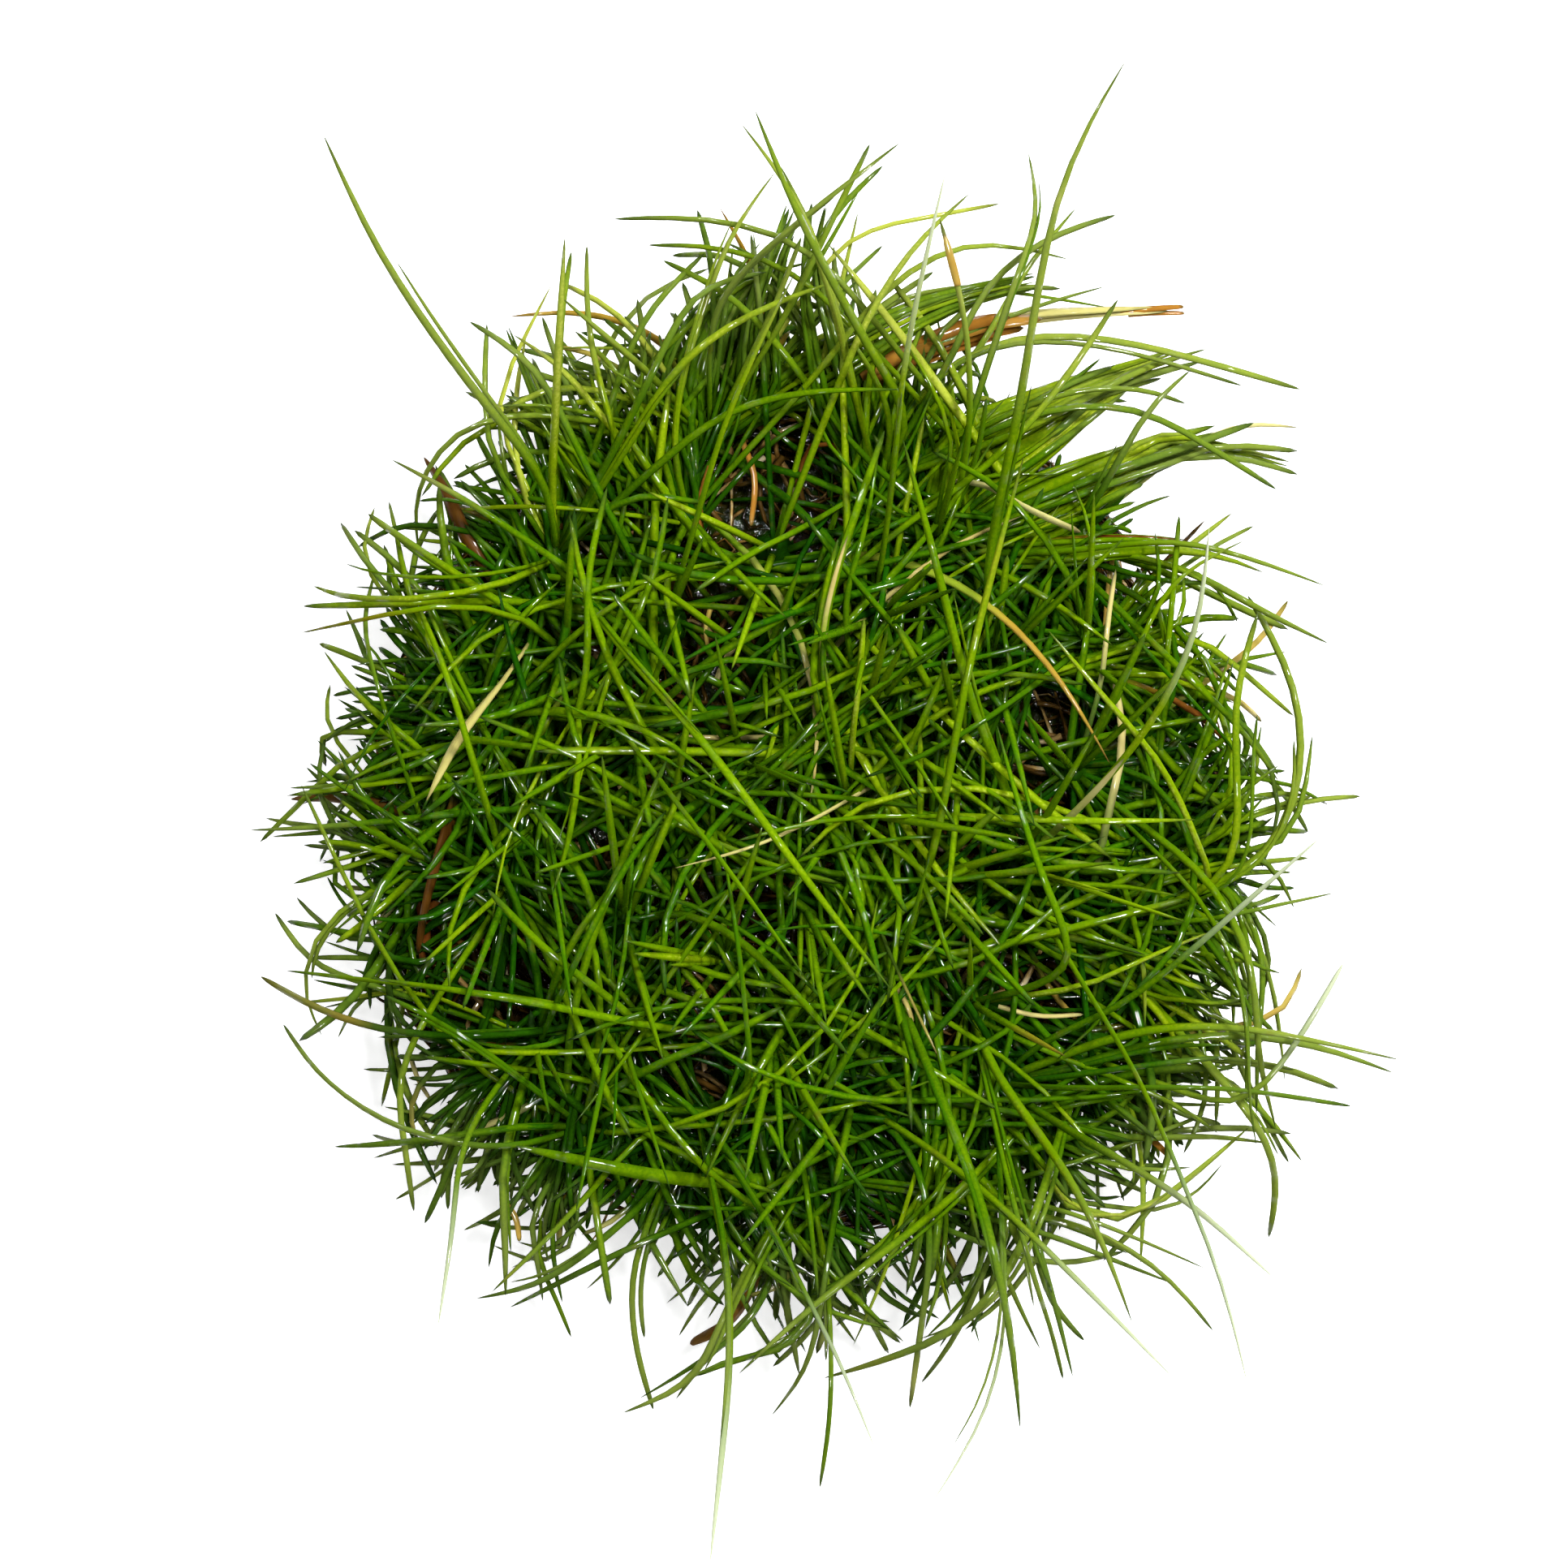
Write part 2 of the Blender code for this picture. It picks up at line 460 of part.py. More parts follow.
def put(mesh, name, place, colour, roughness, collection):
    """An object for a mesh, at a place in mm, with a material of its own."""
    material = bpy.data.materials.new(name)
    material.use_nodes = True
    shader = material.node_tree.nodes["Principled BSDF"]
    shader.inputs["Base Color"].default_value = (*colour, 1)
    shader.inputs["Roughness"].default_value = roughness
    shader.inputs["Metallic"].default_value = 0
    made = bpy.data.objects.new(name, mesh)
    made.data.materials.clear()
    made.data.materials.append(material)
    made.location = place * MM
    collection.objects.link(made)
    return made


def mesh_of(thing):
    """The mesh that an object has with its modifiers or bevel applied."""
    bpy.context.view_layer.update()
    graph = bpy.context.evaluated_depsgraph_get()
    return bpy.data.meshes.new_from_object(thing.evaluated_get(graph))


def needle_section():
    """The section of a needle leaf: a triangle with corners 1 mm out, which each leaf scales."""
    curve = bpy.data.curves.new("needle_section", "CURVE")
    spline = curve.splines.new("POLY")
    spline.points.add(2)
    spline.use_cyclic_u = True
    for n, point in enumerate(spline.points):
        turn = math.radians(90 + 120 * n)
        point.co = (MM * math.cos(turn), MM * math.sin(turn), 0, 1)
    guide = bpy.data.objects.new("needle_section", curve)
    guide.hide_render = True
    guide.display_type = "WIRE"
    new_collection("guides").objects.link(guide)
    return guide


def needle_mesh(points, radii, section):
    """A needle along a line, as a closed mesh."""
    curve = bpy.data.curves.new("needle", "CURVE")
    curve.dimensions = "3D"
    curve.use_fill_caps = True
    curve.bevel_mode = "OBJECT"
    curve.bevel_object = section
    spline = curve.splines.new("POLY")
    spline.points.add(len(points) - 1)
    for point, place, radius in zip(spline.points, points, radii):
        point.co = (*(place * MM), 1)
        point.radius = radius
    needle = bpy.data.objects.new("needle", curve)
    bpy.context.scene.collection.objects.link(needle)
    mesh = mesh_of(needle)
    bpy.data.objects.remove(needle)
    bpy.data.curves.remove(curve)
    shell = bmesh.new()
    shell.from_mesh(mesh)
    bmesh.ops.remove_doubles(shell, verts=shell.verts, dist=1e-6)
    bmesh.ops.recalc_face_normals(shell, faces=shell.faces)
    shell.to_mesh(mesh)
    shell.free()
    return mesh


def crown_mesh():
    """The swollen base of a tuft, a short cone that stands on its own middle."""
    shell = bmesh.new()
    bmesh.ops.create_cone(
        shell, cap_ends=True, segments=CROWN_SIDES, depth=CROWN_HEIGHT * MM,
        radius1=CROWN_RADIUS * MM, radius2=CROWN_NECK_RADIUS * MM,
    )
    bmesh.ops.translate(shell, verts=shell.verts, vec=(0, 0, CROWN_HEIGHT * MM / 2))
    mesh = bpy.data.meshes.new("crown")
    shell.to_mesh(mesh)
    shell.free()
    return mesh


def make_tuft(name, crown, needles, colour, collection):
    """A crown with its needles fused to it, one body."""
    tuft = put(crown_mesh(), name, crown, colour, LEAF_ROUGHNESS, collection)
    joined = new_collection(name + "_needles")
    for mesh in needles:
        needle = bpy.data.objects.new("needle", mesh)
        needle.location = tuft.location
        joined.objects.link(needle)
    union = tuft.modifiers.new("union", "BOOLEAN")
    union.operation = "UNION"
    union.solver = "EXACT"
    union.operand_type = "COLLECTION"
    union.collection = joined
    whole = mesh_of(tuft)
    tuft.modifiers.clear()
    material = tuft.data.materials[0]
    tuft.data = whole
    tuft.data.materials.clear()
    tuft.data.materials.append(material)
    for needle in list(joined.objects):
        bpy.data.objects.remove(needle)
    bpy.data.collections.remove(joined)


def make_mat(collection):
    """The root mat: its profile turned round Z, then drawn out to its uneven edge and lumpy top."""
    mesh = bpy.data.meshes.new("mat_profile")
    edge = [(out * MAT_RADIUS * MM, 0, up * MAT_THICKNESS * MM) for out, up in reversed(MAT_PROFILE)]
    mesh.from_pydata(edge, [(n, n + 1) for n in range(len(edge) - 1)], [])
    turned = bpy.data.objects.new("mat_profile", mesh)
    bpy.context.scene.collection.objects.link(turned)
    screw = turned.modifiers.new("turn", "SCREW")
    screw.steps = screw.render_steps = MAT_SECTORS
    screw.use_merge_vertices = True
    screw.merge_threshold = 1e-5
    shell = bmesh.new()
    shell.from_mesh(mesh_of(turned))
    bpy.data.objects.remove(turned)
    for vert in shell.verts:
        x, y = vert.co.x / MM, vert.co.y / MM
        wider = mat_edge(math.atan2(y, x)) / MAT_RADIUS
        vert.co.x, vert.co.y = x * wider * MM, y * wider * MM
        if vert.co.z > 0.5 * MAT_THICKNESS * MM:
            vert.co.z += mat_lump(x * wider, y * wider) * MM
    bmesh.ops.recalc_face_normals(shell, faces=shell.faces)
    mat = bpy.data.meshes.new("root_mat")
    shell.to_mesh(mat)
    shell.free()
    put(mat, "root_mat", np.zeros(3), ROOT_COLOUR, 0.6, collection)


def main():
    for old in list(bpy.data.objects):
        bpy.data.objects.remove(old)
    plant = new_collection("dwarf_hairgrass")
    crowns, leaves, dead = grow()
    section = needle_section()
    make_mat(plant)
    for n, (crown, tuft) in enumerate(zip(crowns, leaves), 1):
        needles = [needle_mesh(points - crown, radii, section) for points, radii in tuft]
        age = 0.5 + 0.5 * math.sin(2.3 * n)
        colour = [young + (old - young) * age for young, old in zip(YOUNG_COLOUR, OLD_COLOUR)]
        make_tuft(f"tuft_{n:02d}", crown, needles, colour, plant)
    for n, ((points, radii), colour) in enumerate(zip(dead, DEAD_COLOURS), 1):
        needle = needle_mesh(points - points[0], radii, section)
        put(needle, f"dead_leaf_{n:02d}", points[0], colour, DEAD_ROUGHNESS, plant)


main()
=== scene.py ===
"""Dwarf hairgrass: a round portion with its root mat, seen from straight above on a white table.

Lengths are in millimetres until a mesh is written. The crowns and the leaves that stand out are laid
where the solids have them, and the many further leaves of the tangle grow between them.
"""

import json
import math
from collections import namedtuple

import bmesh
import bpy
import numpy as np
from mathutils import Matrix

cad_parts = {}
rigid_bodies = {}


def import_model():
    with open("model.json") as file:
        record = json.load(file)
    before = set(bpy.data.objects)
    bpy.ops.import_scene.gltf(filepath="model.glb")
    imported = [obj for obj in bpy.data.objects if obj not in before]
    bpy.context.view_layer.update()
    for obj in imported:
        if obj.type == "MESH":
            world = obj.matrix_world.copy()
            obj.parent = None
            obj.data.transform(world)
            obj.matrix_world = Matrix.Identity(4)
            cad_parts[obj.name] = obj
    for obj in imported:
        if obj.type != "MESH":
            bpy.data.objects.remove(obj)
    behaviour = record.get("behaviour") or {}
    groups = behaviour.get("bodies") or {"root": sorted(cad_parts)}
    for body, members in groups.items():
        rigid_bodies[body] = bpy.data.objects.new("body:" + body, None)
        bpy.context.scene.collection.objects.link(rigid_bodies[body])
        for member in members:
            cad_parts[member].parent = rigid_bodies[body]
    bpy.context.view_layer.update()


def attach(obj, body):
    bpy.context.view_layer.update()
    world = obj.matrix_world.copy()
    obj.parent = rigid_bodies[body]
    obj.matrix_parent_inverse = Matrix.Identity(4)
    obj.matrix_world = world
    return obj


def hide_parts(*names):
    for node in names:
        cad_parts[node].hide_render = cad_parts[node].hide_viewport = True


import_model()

MM = 0.001

# The root mat, a felt of fine roots the shape of a thick biscuit
MAT_RADIUS = 24.6
MAT_THICKNESS = 7.4
MAT_LUMP = 0.45
# How uneven its edge is: waves round it, each a share of the radius, a count and a phase in radians
MAT_WAVES = ((0.03, 2, 0.7), (0.02, 5, 2.1), (0.014, 9, 0.0))
# Where the edge is drawn in: the bearing and the spread in radians, and how deep as a share of the radius
MAT_DENTS = ((-0.45, 0.16, 0.09), (0.43, 0.39, 0.13), (-2.7, 0.25, 0.035))
# How far out and how high the mat's turned edge goes, as shares of its radius and thickness, underside first
MAT_PROFILE = (
    (0.0, 0.0), (0.5, 0.0), (0.93, 0.0), (0.99, 0.18), (1.0, 0.42), (0.985, 0.66),
    (0.94, 0.85), (0.84, 0.95), (0.62, 1.0), (0.4, 1.0), (0.2, 1.0), (0.0, 1.0),
)

# The tufts
TUFT_COUNT = 42
TUFT_FIELD_RADIUS = 22.3
CROWN_RADIUS = 1.35
CROWN_HEIGHT = 2.3
GOLDEN_ANGLE = math.pi * (3 - math.sqrt(5))

# The leaves: a three-edged needle, widest a third of the way up, with a fine point
SECTION_SHARE = 1.1
NEEDLE = ((0.0, 0.8), (0.3, 1.0), (0.6, 0.95), (0.85, 0.6), (1.0, 0.14))
MORE_POINTS_OVER = (10, 20, 30)
ARCH_BASE = 1.2
ARCH_SHARE = 0.08
GAP = 0.3
LEAF_GAP = 0.12
FINE_POINTS = 24
# How a leaf's arch and its tip's height may be changed until it is clear of the others
NUDGES = (0, 0.8, -0.8, 1.6, -1.6, 2.4, 3.2, 4, 4.8, 5.6, 6.4, 7.2)
TIP_NUDGES = (0, 1.2, -1.2, 2.4, -2.4, 3.6)
LOWEST_TIP = 1.5
# The tufts tried for a traced leaf, and what counts against one: standing aside from the leaf's line, off the
# usual distance behind its lower end, or in front of it, and each leaf that the tuft has already
TUFTS_TRIED = 4
USUAL_DISTANCE = 3
ASIDE, OFF_DISTANCE, IN_FRONT, EACH_LEAF = 1.5, 0.6, 8, 0.5
# A traced point closer to the crown than this is left out
TOO_NEAR = 2

# Short upright leaves that fill out a tuft with fewer than this
LEAST_LEAVES = 5
EXTRA_LEAN = (0.25, 0.95)
EXTRA_LENGTH = (9, 16)
EXTRA_WIDTH = (0.5, 0.8)
EXTRA_TRIES = 60
SEED = 41

# The blanks that leaves, roots and crowns are copies of: how many sides each has, and where it is cut across,
# as shares of its length. A leaf whose ends are further apart than LONG_LEAF takes the finer blank
LEAF_SIDES, LONG_LEAF_SIDES, ROOT_SIDES, CROWN_SIDES = 5, 6, 4, 10
LEAF_CUTS = (0.12, 0.26, 0.4, 0.54, 0.68, 0.8, 0.9, 0.965)
LONG_LEAF_CUTS = (
    0.06, 0.12, 0.18, 0.24, 0.3, 0.36, 0.42, 0.48, 0.54, 0.6, 0.66, 0.72, 0.78, 0.84, 0.9, 0.94, 0.97, 0.99,
)
EVEN_CUTS = (0.2, 0.4, 0.6, 0.8)
LONG_LEAF = 16
BLANK_END = 0.999
SPLINE_POINTS = 33

# How thickness changes from foot to tip: a leaf drawn out to a fine point, or nearly even and blunt, then a
# root and a crown
POINTED = (
    (0.0, 0.85), (0.1, 0.95), (0.4, 1.0), (0.7, 0.92), (0.83, 0.75), (0.92, 0.52), (0.97, 0.3), (1.0, 0.06),
)
BLUNT = ((0.0, 0.9), (0.1, 0.97), (0.5, 1.0), (0.85, 0.95), (0.93, 0.84), (0.975, 0.62), (1.0, 0.14))
ROOT = ((0.0, 1.0), (1.0, 0.5))
KNOB = ((0.0, 1.25), (0.2, 1.3), (0.4, 1.15), (0.6, 0.85), (0.8, 0.5), (1.0, 0.25))

# How flat a section is: a living leaf's, a clinging sheet's, a strip's, a flake's and a root's
FLATNESS, SHEET_FLATNESS, STRIP_FLATNESS, FLAKE_FLATNESS, ROOT_FLATNESS = 0.65, 0.35, 0.5, 0.45, 0.9
# A line nearer to upright than this has no level side of its own
NEARLY_UPRIGHT = 1e-3
# No point is lower than this over the table
LEAST_HEIGHT = 0.02

# What each copy tells its material: how light its green is, how dry it is, how pale its tip is, and a random
# share. A dead leaf's are its tone, the share still green, the share yellowed, and how dark it has gone
FACTS = ("tone", "dry", "pale", "chance")

# The bake's map: how much longer than wide a copy's strip is, the margins in it, and where it starts and how
# far it runs round the copy, in turns
STRIP_SHAPE = 2.5
MARGIN_ACROSS, MARGIN_ALONG = 0.1, 0.04
AROUND_START, AROUND_SPAN = -0.35, 1.7

# From here on, two numbers in brackets are a least and a most, in a TURN the spreads of a leaf's twist and of
# its turn about its line, and in a DRAW the two shapes of a beta draw. A SPREAD is a normal draw's, round 0
# unless a mean is named with it. Angles are in radians, and a leaf's lean and droop are from upright
GROWTH_SEED = 7

# A leaf's line bends from its lean to its droop in this many steps, every second of which is kept
ARC_STEPS = 12
ARC_EASE = 1.15
CURL_FROM = 0.3
END_CURL_SPREAD = 0.5
# The shares that a line may be drawn back to when it would leave the thicket
DRAWN_BACK = (1, 0.92, 0.84, 0.76, 0.68, 0.6, 0.52, 0.44, 0.36)
EASED_POINTS, EASED_ROUNDS, EASED_KEPT = 41, 12, 4

# The further leaves of a tuft, in the middle and at the rim of the mat: how many, how often a line is tried
# until it stays in the thicket, the shares of high and of pointed ones, the lengths, what a high one has
# more, the leans and droops, the spread of the curl and how much thicker than the thinnest one may be
Growth = namedtuple("Growth", "leaves tries high pointed length longer lean droop curl thicker")
INNER = Growth(38, 2, 0.4, 0.3, (14, 26), (4, 13), (0.5, 1.15), (1.3, 1.65), 0.45, 0.14)
RIM = Growth(54, 4, 0.25, 0.35, (11, 26), (4, 7), (0.3, 1.2), (1.3, 2.2), 0.7, 0.12)
# A crown further than this from the foot of the eye is at the rim
RIM_FROM = 14
# Rim leaves may be combed outwards, and others run in a few streams
COMBED_SHARE, COMBED_TURN, COMBED_SPREAD = 0.5, 0.4, 0.7
STREAMS, STREAM_SHARE, STREAM_SPREAD = 3, 0.6, 0.25
# How far past the thicket's edge a leaf may reach: mean, spread and most, and the share kept that is enough
SLACK_MEAN, SLACK_SPREAD, SLACK_MOST = -1.0, 1.6, 0.8
ENOUGH_KEPT = 0.8
# How high low and high leaves may reach in the middle, its spread, and how much lower it is this far out
LOW_CANOPY, HIGH_CANOPY, CANOPY_SPREAD = 13.5, 17.5, 0.9
CANOPY_FALL, CANOPY_REACH = 6, 28
# Where a leaf leaves its crown: how far from its middle, and how high as a share of it
FOOT_SPREAD, FOOT_HEIGHT = 0.5, 0.4
# How far it stays above the mat, how thick it is at least, and the draw of what is added
FILL_CLEARANCE = 0.6
THINNEST, THICKNESS_DRAW = 0.165, (1.8, 2.0)
FILL_TURN = (0.8, 0.6)
# Its tone and dryness, a high leaf's tone lighter and a low one's darker as painted light and shade
BASE_TONES = (0.32, 0.56)
HIGH_PAINTED_LIGHT, LOW_PAINTED_SHADE, FILL_TONE_SPREAD = 0.10, -0.05, 0.12
FILL_TONES = (0, 0.8)
DEAD_SHARE, FILL_DRY_SPREAD = 0.007, 0.18

# The leaves that hang over the mat's edge
SKIRT_LEAVES = 32
SKIRT_FOOT_SPREAD, SKIRT_FOOT_HEIGHT, SKIRT_BEARING_SPREAD, SKIRT_CURL = 0.6, 0.2, 0.6, 0.6
SKIRT_LENGTH, SKIRT_LEAN, SKIRT_DROOP, SKIRT_RADIUS = (8, 16), (0.9, 1.3), (1.8, 2.3), (0.16, 0.26)
SKIRT_SLACK_MEAN, SKIRT_SLACK_SPREAD = -1.6, 1.0
SKIRT_RISE, SKIRT_CLEARANCE = 2.0, 0.4
# The skirt's tone, the painted light that makes it lighter on the far side, and its spread
SKIRT_TONE, SKIRT_PAINTED_LIGHT_FAR, SKIRT_TONE_SPREAD = 0.15, 0.2, 0.08
SKIRT_TONES, SKIRT_DRY_SPREAD = (0, 0.5), 0.25

# The leaves that the solids have too. One with its tip higher than TALL_TIP is always pointed, and one with
# its tip higher than HIGH_TIP is in the light
TALL_TIP, HIGH_TIP = 19, 13
TRACED_POINTED = 0.5
HIGH_TONE, HIGH_TONE_SPREAD = 0.60, 0.08
TRACED_LIGHTER, TRACED_TONE_SPREAD = 0.12, 0.12
TRACED_TONES, TRACED_DRY_SPREAD = (0.1, 0.95), 0.2
PALENESS, PALE_DARKER, PALE_THINNER = 0.9, 0.08, 0.85
# What a tan tip's leaf tells its material after its tone
TAN_FACTS = (0.45, 0.0, 0.8)
# How thick a leaf of some width looks: a base and a gain, or a share alone when it is wide
THICK_BASE, THICK_GAIN, WIDE, WIDE_SHARE = 0.13, 0.165, 1.05, 0.42
# How near a tip is to its mark, in pixels
MARK_REACH, STRIP_REACH = 20, 15
TRACED_TURN = (0.8, 0.5)
# A dry strip's points, how far it stands out of its leaf and its tone
STRIP_STEPS, STRIP_POINTS, STRIP_RISE, STRIP_TONE = 50, 9, 0.75, 0.8

# A slighter leaf beside a traced one
COMPANION_CHANCE = 0.75
COMPANION_ASIDE, COMPANION_FLATTER, COMPANION_SPREADS = 0.8, 0.6, (0.6, 1.8)
COMPANION_LENGTHS, COMPANION_RADIUS, COMPANION_CLEARANCE = (0.6, 1.01), (0.14, 0.2), 0.5
COMPANION_DARKER, COMPANION_TONE_SPREAD = 0.08, 0.1
BESIDE_TWIST, BESIDE_LEAN = 0.5, 0.6

# Further single leaves, of which a dead one has this tone, flakes and leaves that cling together
MORE_BASE, MORE_GAIN, MORE_CLEARANCE, MORE_TURN = 0.08, 0.28, 0.4, (0.6, 0.5)
MORE_DEAD_TONE = 0.5
FLAKE_TONE, FLAKE_DRYNESS, FLAKE_TWIST, FLAKE_LEAN = 0.5, 3.0, 0.4, 0.2
CLUMP_POINTS, CLUMP_LEAF_POINTS, CLUMP_LEAST = 12, 7, 8
# A clump's width along its line, foot first: its own foot, its own end and how far it opens past it
CLUMP_SHARES, CLUMP_START, CLUMP_OPENS = (0, 0.3, 0.9, 1), 0.4, 1.6
CLUMP_ACROSS, CLUMP_ABOVE = (-0.5, 0.5), (-0.14, 0.14)
CLUMP_TONE_SPREAD, CLUMP_DEAD_SHARE, CLUMP_CHANCE = 0.05, 0.015, 0.5
CLUMP_RADIUS, CLUMP_CLEARANCE = (0.17, 0.25), 0.4
# One clump leaf in so many is a sheet that lies under the others
SHEET_EVERY, SHEET_LEAST, SHEET_ACROSS, SHEET_ABOVE = 4, 9, 0.8, -0.12
SHEET_RADIUS, SHEET_DARKER, SHEET_CHANCE = (0.08, 0.11), 0.05, 0.2

# How far a crown sinks into the mat, and its tone
CROWN_SUNK, CROWN_TONE = 0.2, 0.2

# How each dead leaf looks: its tone from rust to straw, how flat it has dried, how far it twists, how much
# thicker it looks than its solid, the share of its length that is still dull green, the share up to where it
# is only yellowed, and how dark it has gone
DEAD_LOOKS = (
    (0.05, 0.6, 0.6, 1.0, 0.4, 0, 0.1), (0.8, 0.45, 2.2, 0.9, 0.35, 0, 0.2),
    (0.85, 0.5, 1.0, 0.9, 0.3, 0, 0.1), (0.42, 0.55, 1.6, 0.9, 0.2, 0.6, 0.1),
    (0.7, 0.45, 0.8, 0.65, 0.78, 0, 0.6), (0.95, 0.5, 1.2, 0.9, 0.3, 0, 0.1),
    (0.4, 0.6, 0.8, 1.0, 0.3, 0, 0.2), (0.02, 0.6, 0.5, 1.0, 0.4, 0, 0),
    (0.08, 0.5, 1.5, 1.0, 0.4, 0, 0), (0.02, 0.4, 1.0, 0.8, 0.3, 0, 0),
    (0.26, 0.6, 0.6, 1.0, 0.5, 0, 0), (0.85, 0.35, 1.4, 0.7, 0.1, 0, 0.1),
)
BLUNT_DEAD = (5, 6, 9, 10)
DEAD_RAGGED = 0.12

# Roots on the mat: how many, how far out they start and end, their points, steps, turns, lift and looks
ROOTS_ON_TOP = 900
ROOTS_REACH, ROOTS_END, ROOT_POINTS, LEAST_ROOT_POINTS = 23, 22, 6, 3
ROOT_STEP, ROOT_BEND, ROOT_WANDER, ROOT_LIFT = (0.6, 1.6), 0.6, 0.3, (0.0, 0.5)
ROOT_RADIUS, TOP_ROOT_DRAW, EDGE_ROOT_DRAW = (0.06, 0.13), (1.8, 2.6), (2, 2.2)
# Litter in each hollow: how many stubs, how they lie and look
LITTER, LITTER_POINTS, LITTER_STEP, LITTER_SPREAD, LITTER_BEND = 14, 5, 1.2, 0.5, 0.3
LITTER_BASE, LITTER_LIFT, LITTER_RADIUS, LITTER_TONES = 0.5, (0, 1.4), (0.12, 0.24), (0.35, 0.98)
# Roots that wind round the mat: their piece's name, how many, their heights at first, how far in they lie as
# shares of the edge, how far they wander in and out, and their lowest and highest place
Winding = namedtuple("Winding", "name count heights shares wander levels")
WINDING_ROOTS = (
    Winding("roots_round_edge", 1500, (0.3, 6.6), None, (-0.15, 0.45), (0.15, 7.3)),
    Winding("roots_under", 500, (0.2, 0.6), (0.1, 0.97), (-0.1, 0.1), (0.145, 0.145)),
)
WINDING_TURN, WINDING_RISE, TURN_WANDER, RISE_WANDER = 0.05, 0.35, 0.012, 0.2

# The felt: its sides, its layers and the rings of its flat ends. What counts as a flat end, as its edge and
# as its top, whose height is read just inside its place. The waves in its surface, how high they are and from
# what height up, and how far it sinks
FELT_SIDES, FELT_LAYERS, FELT_RINGS = 96, 8, 10
FLAT_END, EDGE_SHARE, TOP_SHARE, JUST_INSIDE = 0.9, 0.97, 0.95, 0.999
FELT_WAVES = ((2.3, 1.1), (2.1, -0.7))
WAVE_HEIGHT, WAVES_FROM, FELT_SUNK = 0.22, 0.4, 0.1

# The leaves' colours, from dark to pale yellow-green and from rust to straw when dry
GREENS = (
    (0.0, (0.007, 0.038, 0.001)),
    (0.25, (0.018, 0.079, 0.001)),
    (0.5, (0.053, 0.138, 0.001)),
    (0.72, (0.118, 0.222, 0.001)),
    (0.88, (0.205, 0.310, 0.003)),
    (1.0, (0.370, 0.460, 0.040)),
)
DRY_LEAF = (
    (0.0, (0.085, 0.020, 0.003)),
    (0.3, (0.340, 0.150, 0.020)),
    (0.6, (0.380, 0.285, 0.060)),
    (1.0, (0.560, 0.500, 0.200)),
)
COOLER, OUTER_TINT = (0.55, 0.93, 1.0), (1.0, 0.88, 1.0)
# The first is a painted glow, the table's light coming through the outer leaves, and the second is scuffing
PAINTED_GLOW, SCUFFED = (0.260, 0.290, 0.070), (0.13, 0.13, 0.006)
PALE_TIP, DARK_TIP = (0.56, 0.61, 0.43), (0.016, 0.036, 0.010)
# The dead leaves' colours, from rust to straw
DEAD_COLOURS = (
    (0.0, (0.075, 0.024, 0.003)),
    (0.33, (0.400, 0.225, 0.014)),
    (0.66, (0.410, 0.340, 0.070)),
    (1.0, (0.600, 0.570, 0.220)),
)
YELLOWED, STILL_GREEN, DEAD_DARKER = (0.230, 0.310, 0.018), (0.030, 0.060, 0.004), (0.35, 0.40, 0.22)
BLOTCH, DEAD_TIP = (0.09, 0.050, 0.008), (0.06, 0.03, 0.012)
# The roots' colours, from near black to white, and the felt's
ROOT_COLOURS = (
    (0.0, (0.008, 0.004, 0.001)),
    (0.45, (0.028, 0.016, 0.002)),
    (0.75, (0.115, 0.058, 0.010)),
    (0.92, (0.340, 0.220, 0.070)),
    (1.0, (0.550, 0.470, 0.280)),
)
FELT_COLOURS = (
    (0.3, (0.004, 0.002, 0.001)),
    (0.5, (0.015, 0.007, 0.001)),
    (0.62, (0.040, 0.018, 0.003)),
    (0.75, (0.120, 0.058, 0.013)),
)
MOSSY = (0.008, 0.032, 0.001)

# Where the leaves stand clear of the others, and where the table's glow comes through them, in metres from
# the middle. How much of the glow they take
OUTER, BEYOND, GLOW_TAKEN = (0.019, 0.027), (0.0245, 0.0300), 0.42
# The heights between which painted shade darkens the leaves among the others, in metres, and how dark it is
PAINTED_SHADE_HEIGHTS, PAINTED_SHADE_DEPTH = (0.006, 0.0145), 0.28
# The side that the light comes from, how far out it counts, and how dark and light the painted shade and
# painted light on the two sides are
LIGHT_SIDE, LIGHT_REACH, LIGHT_TONES = (0.5, 0.85), 0.026, (-0.08, 0.12)
# How fine each pattern is: its scale over a metre, and its detail
CLOUDS, SPECKS, WEAR, LEAF_WET = (240, 3), (5200, 2), (900, 2), (900, 3)
BLOTCHES, DEAD_WET, ROOT_STAINS, ROOT_WET = (420, 3), (800, 2), (700, 3), (900, 3)
FELT_FIBRES, FELT_LUMPS, FELT_WET = (1500, 4), (160, 3), (900, 2)
# How much finer it is along each axis, on a leaf's own map and on the felt
FIBRE_STRETCH, FELT_STRETCH = (30, 2.0, 1), (1, 1, 2.5)
WET_ROUGHNESS = 0.12
LEAF_IOR = 1.4

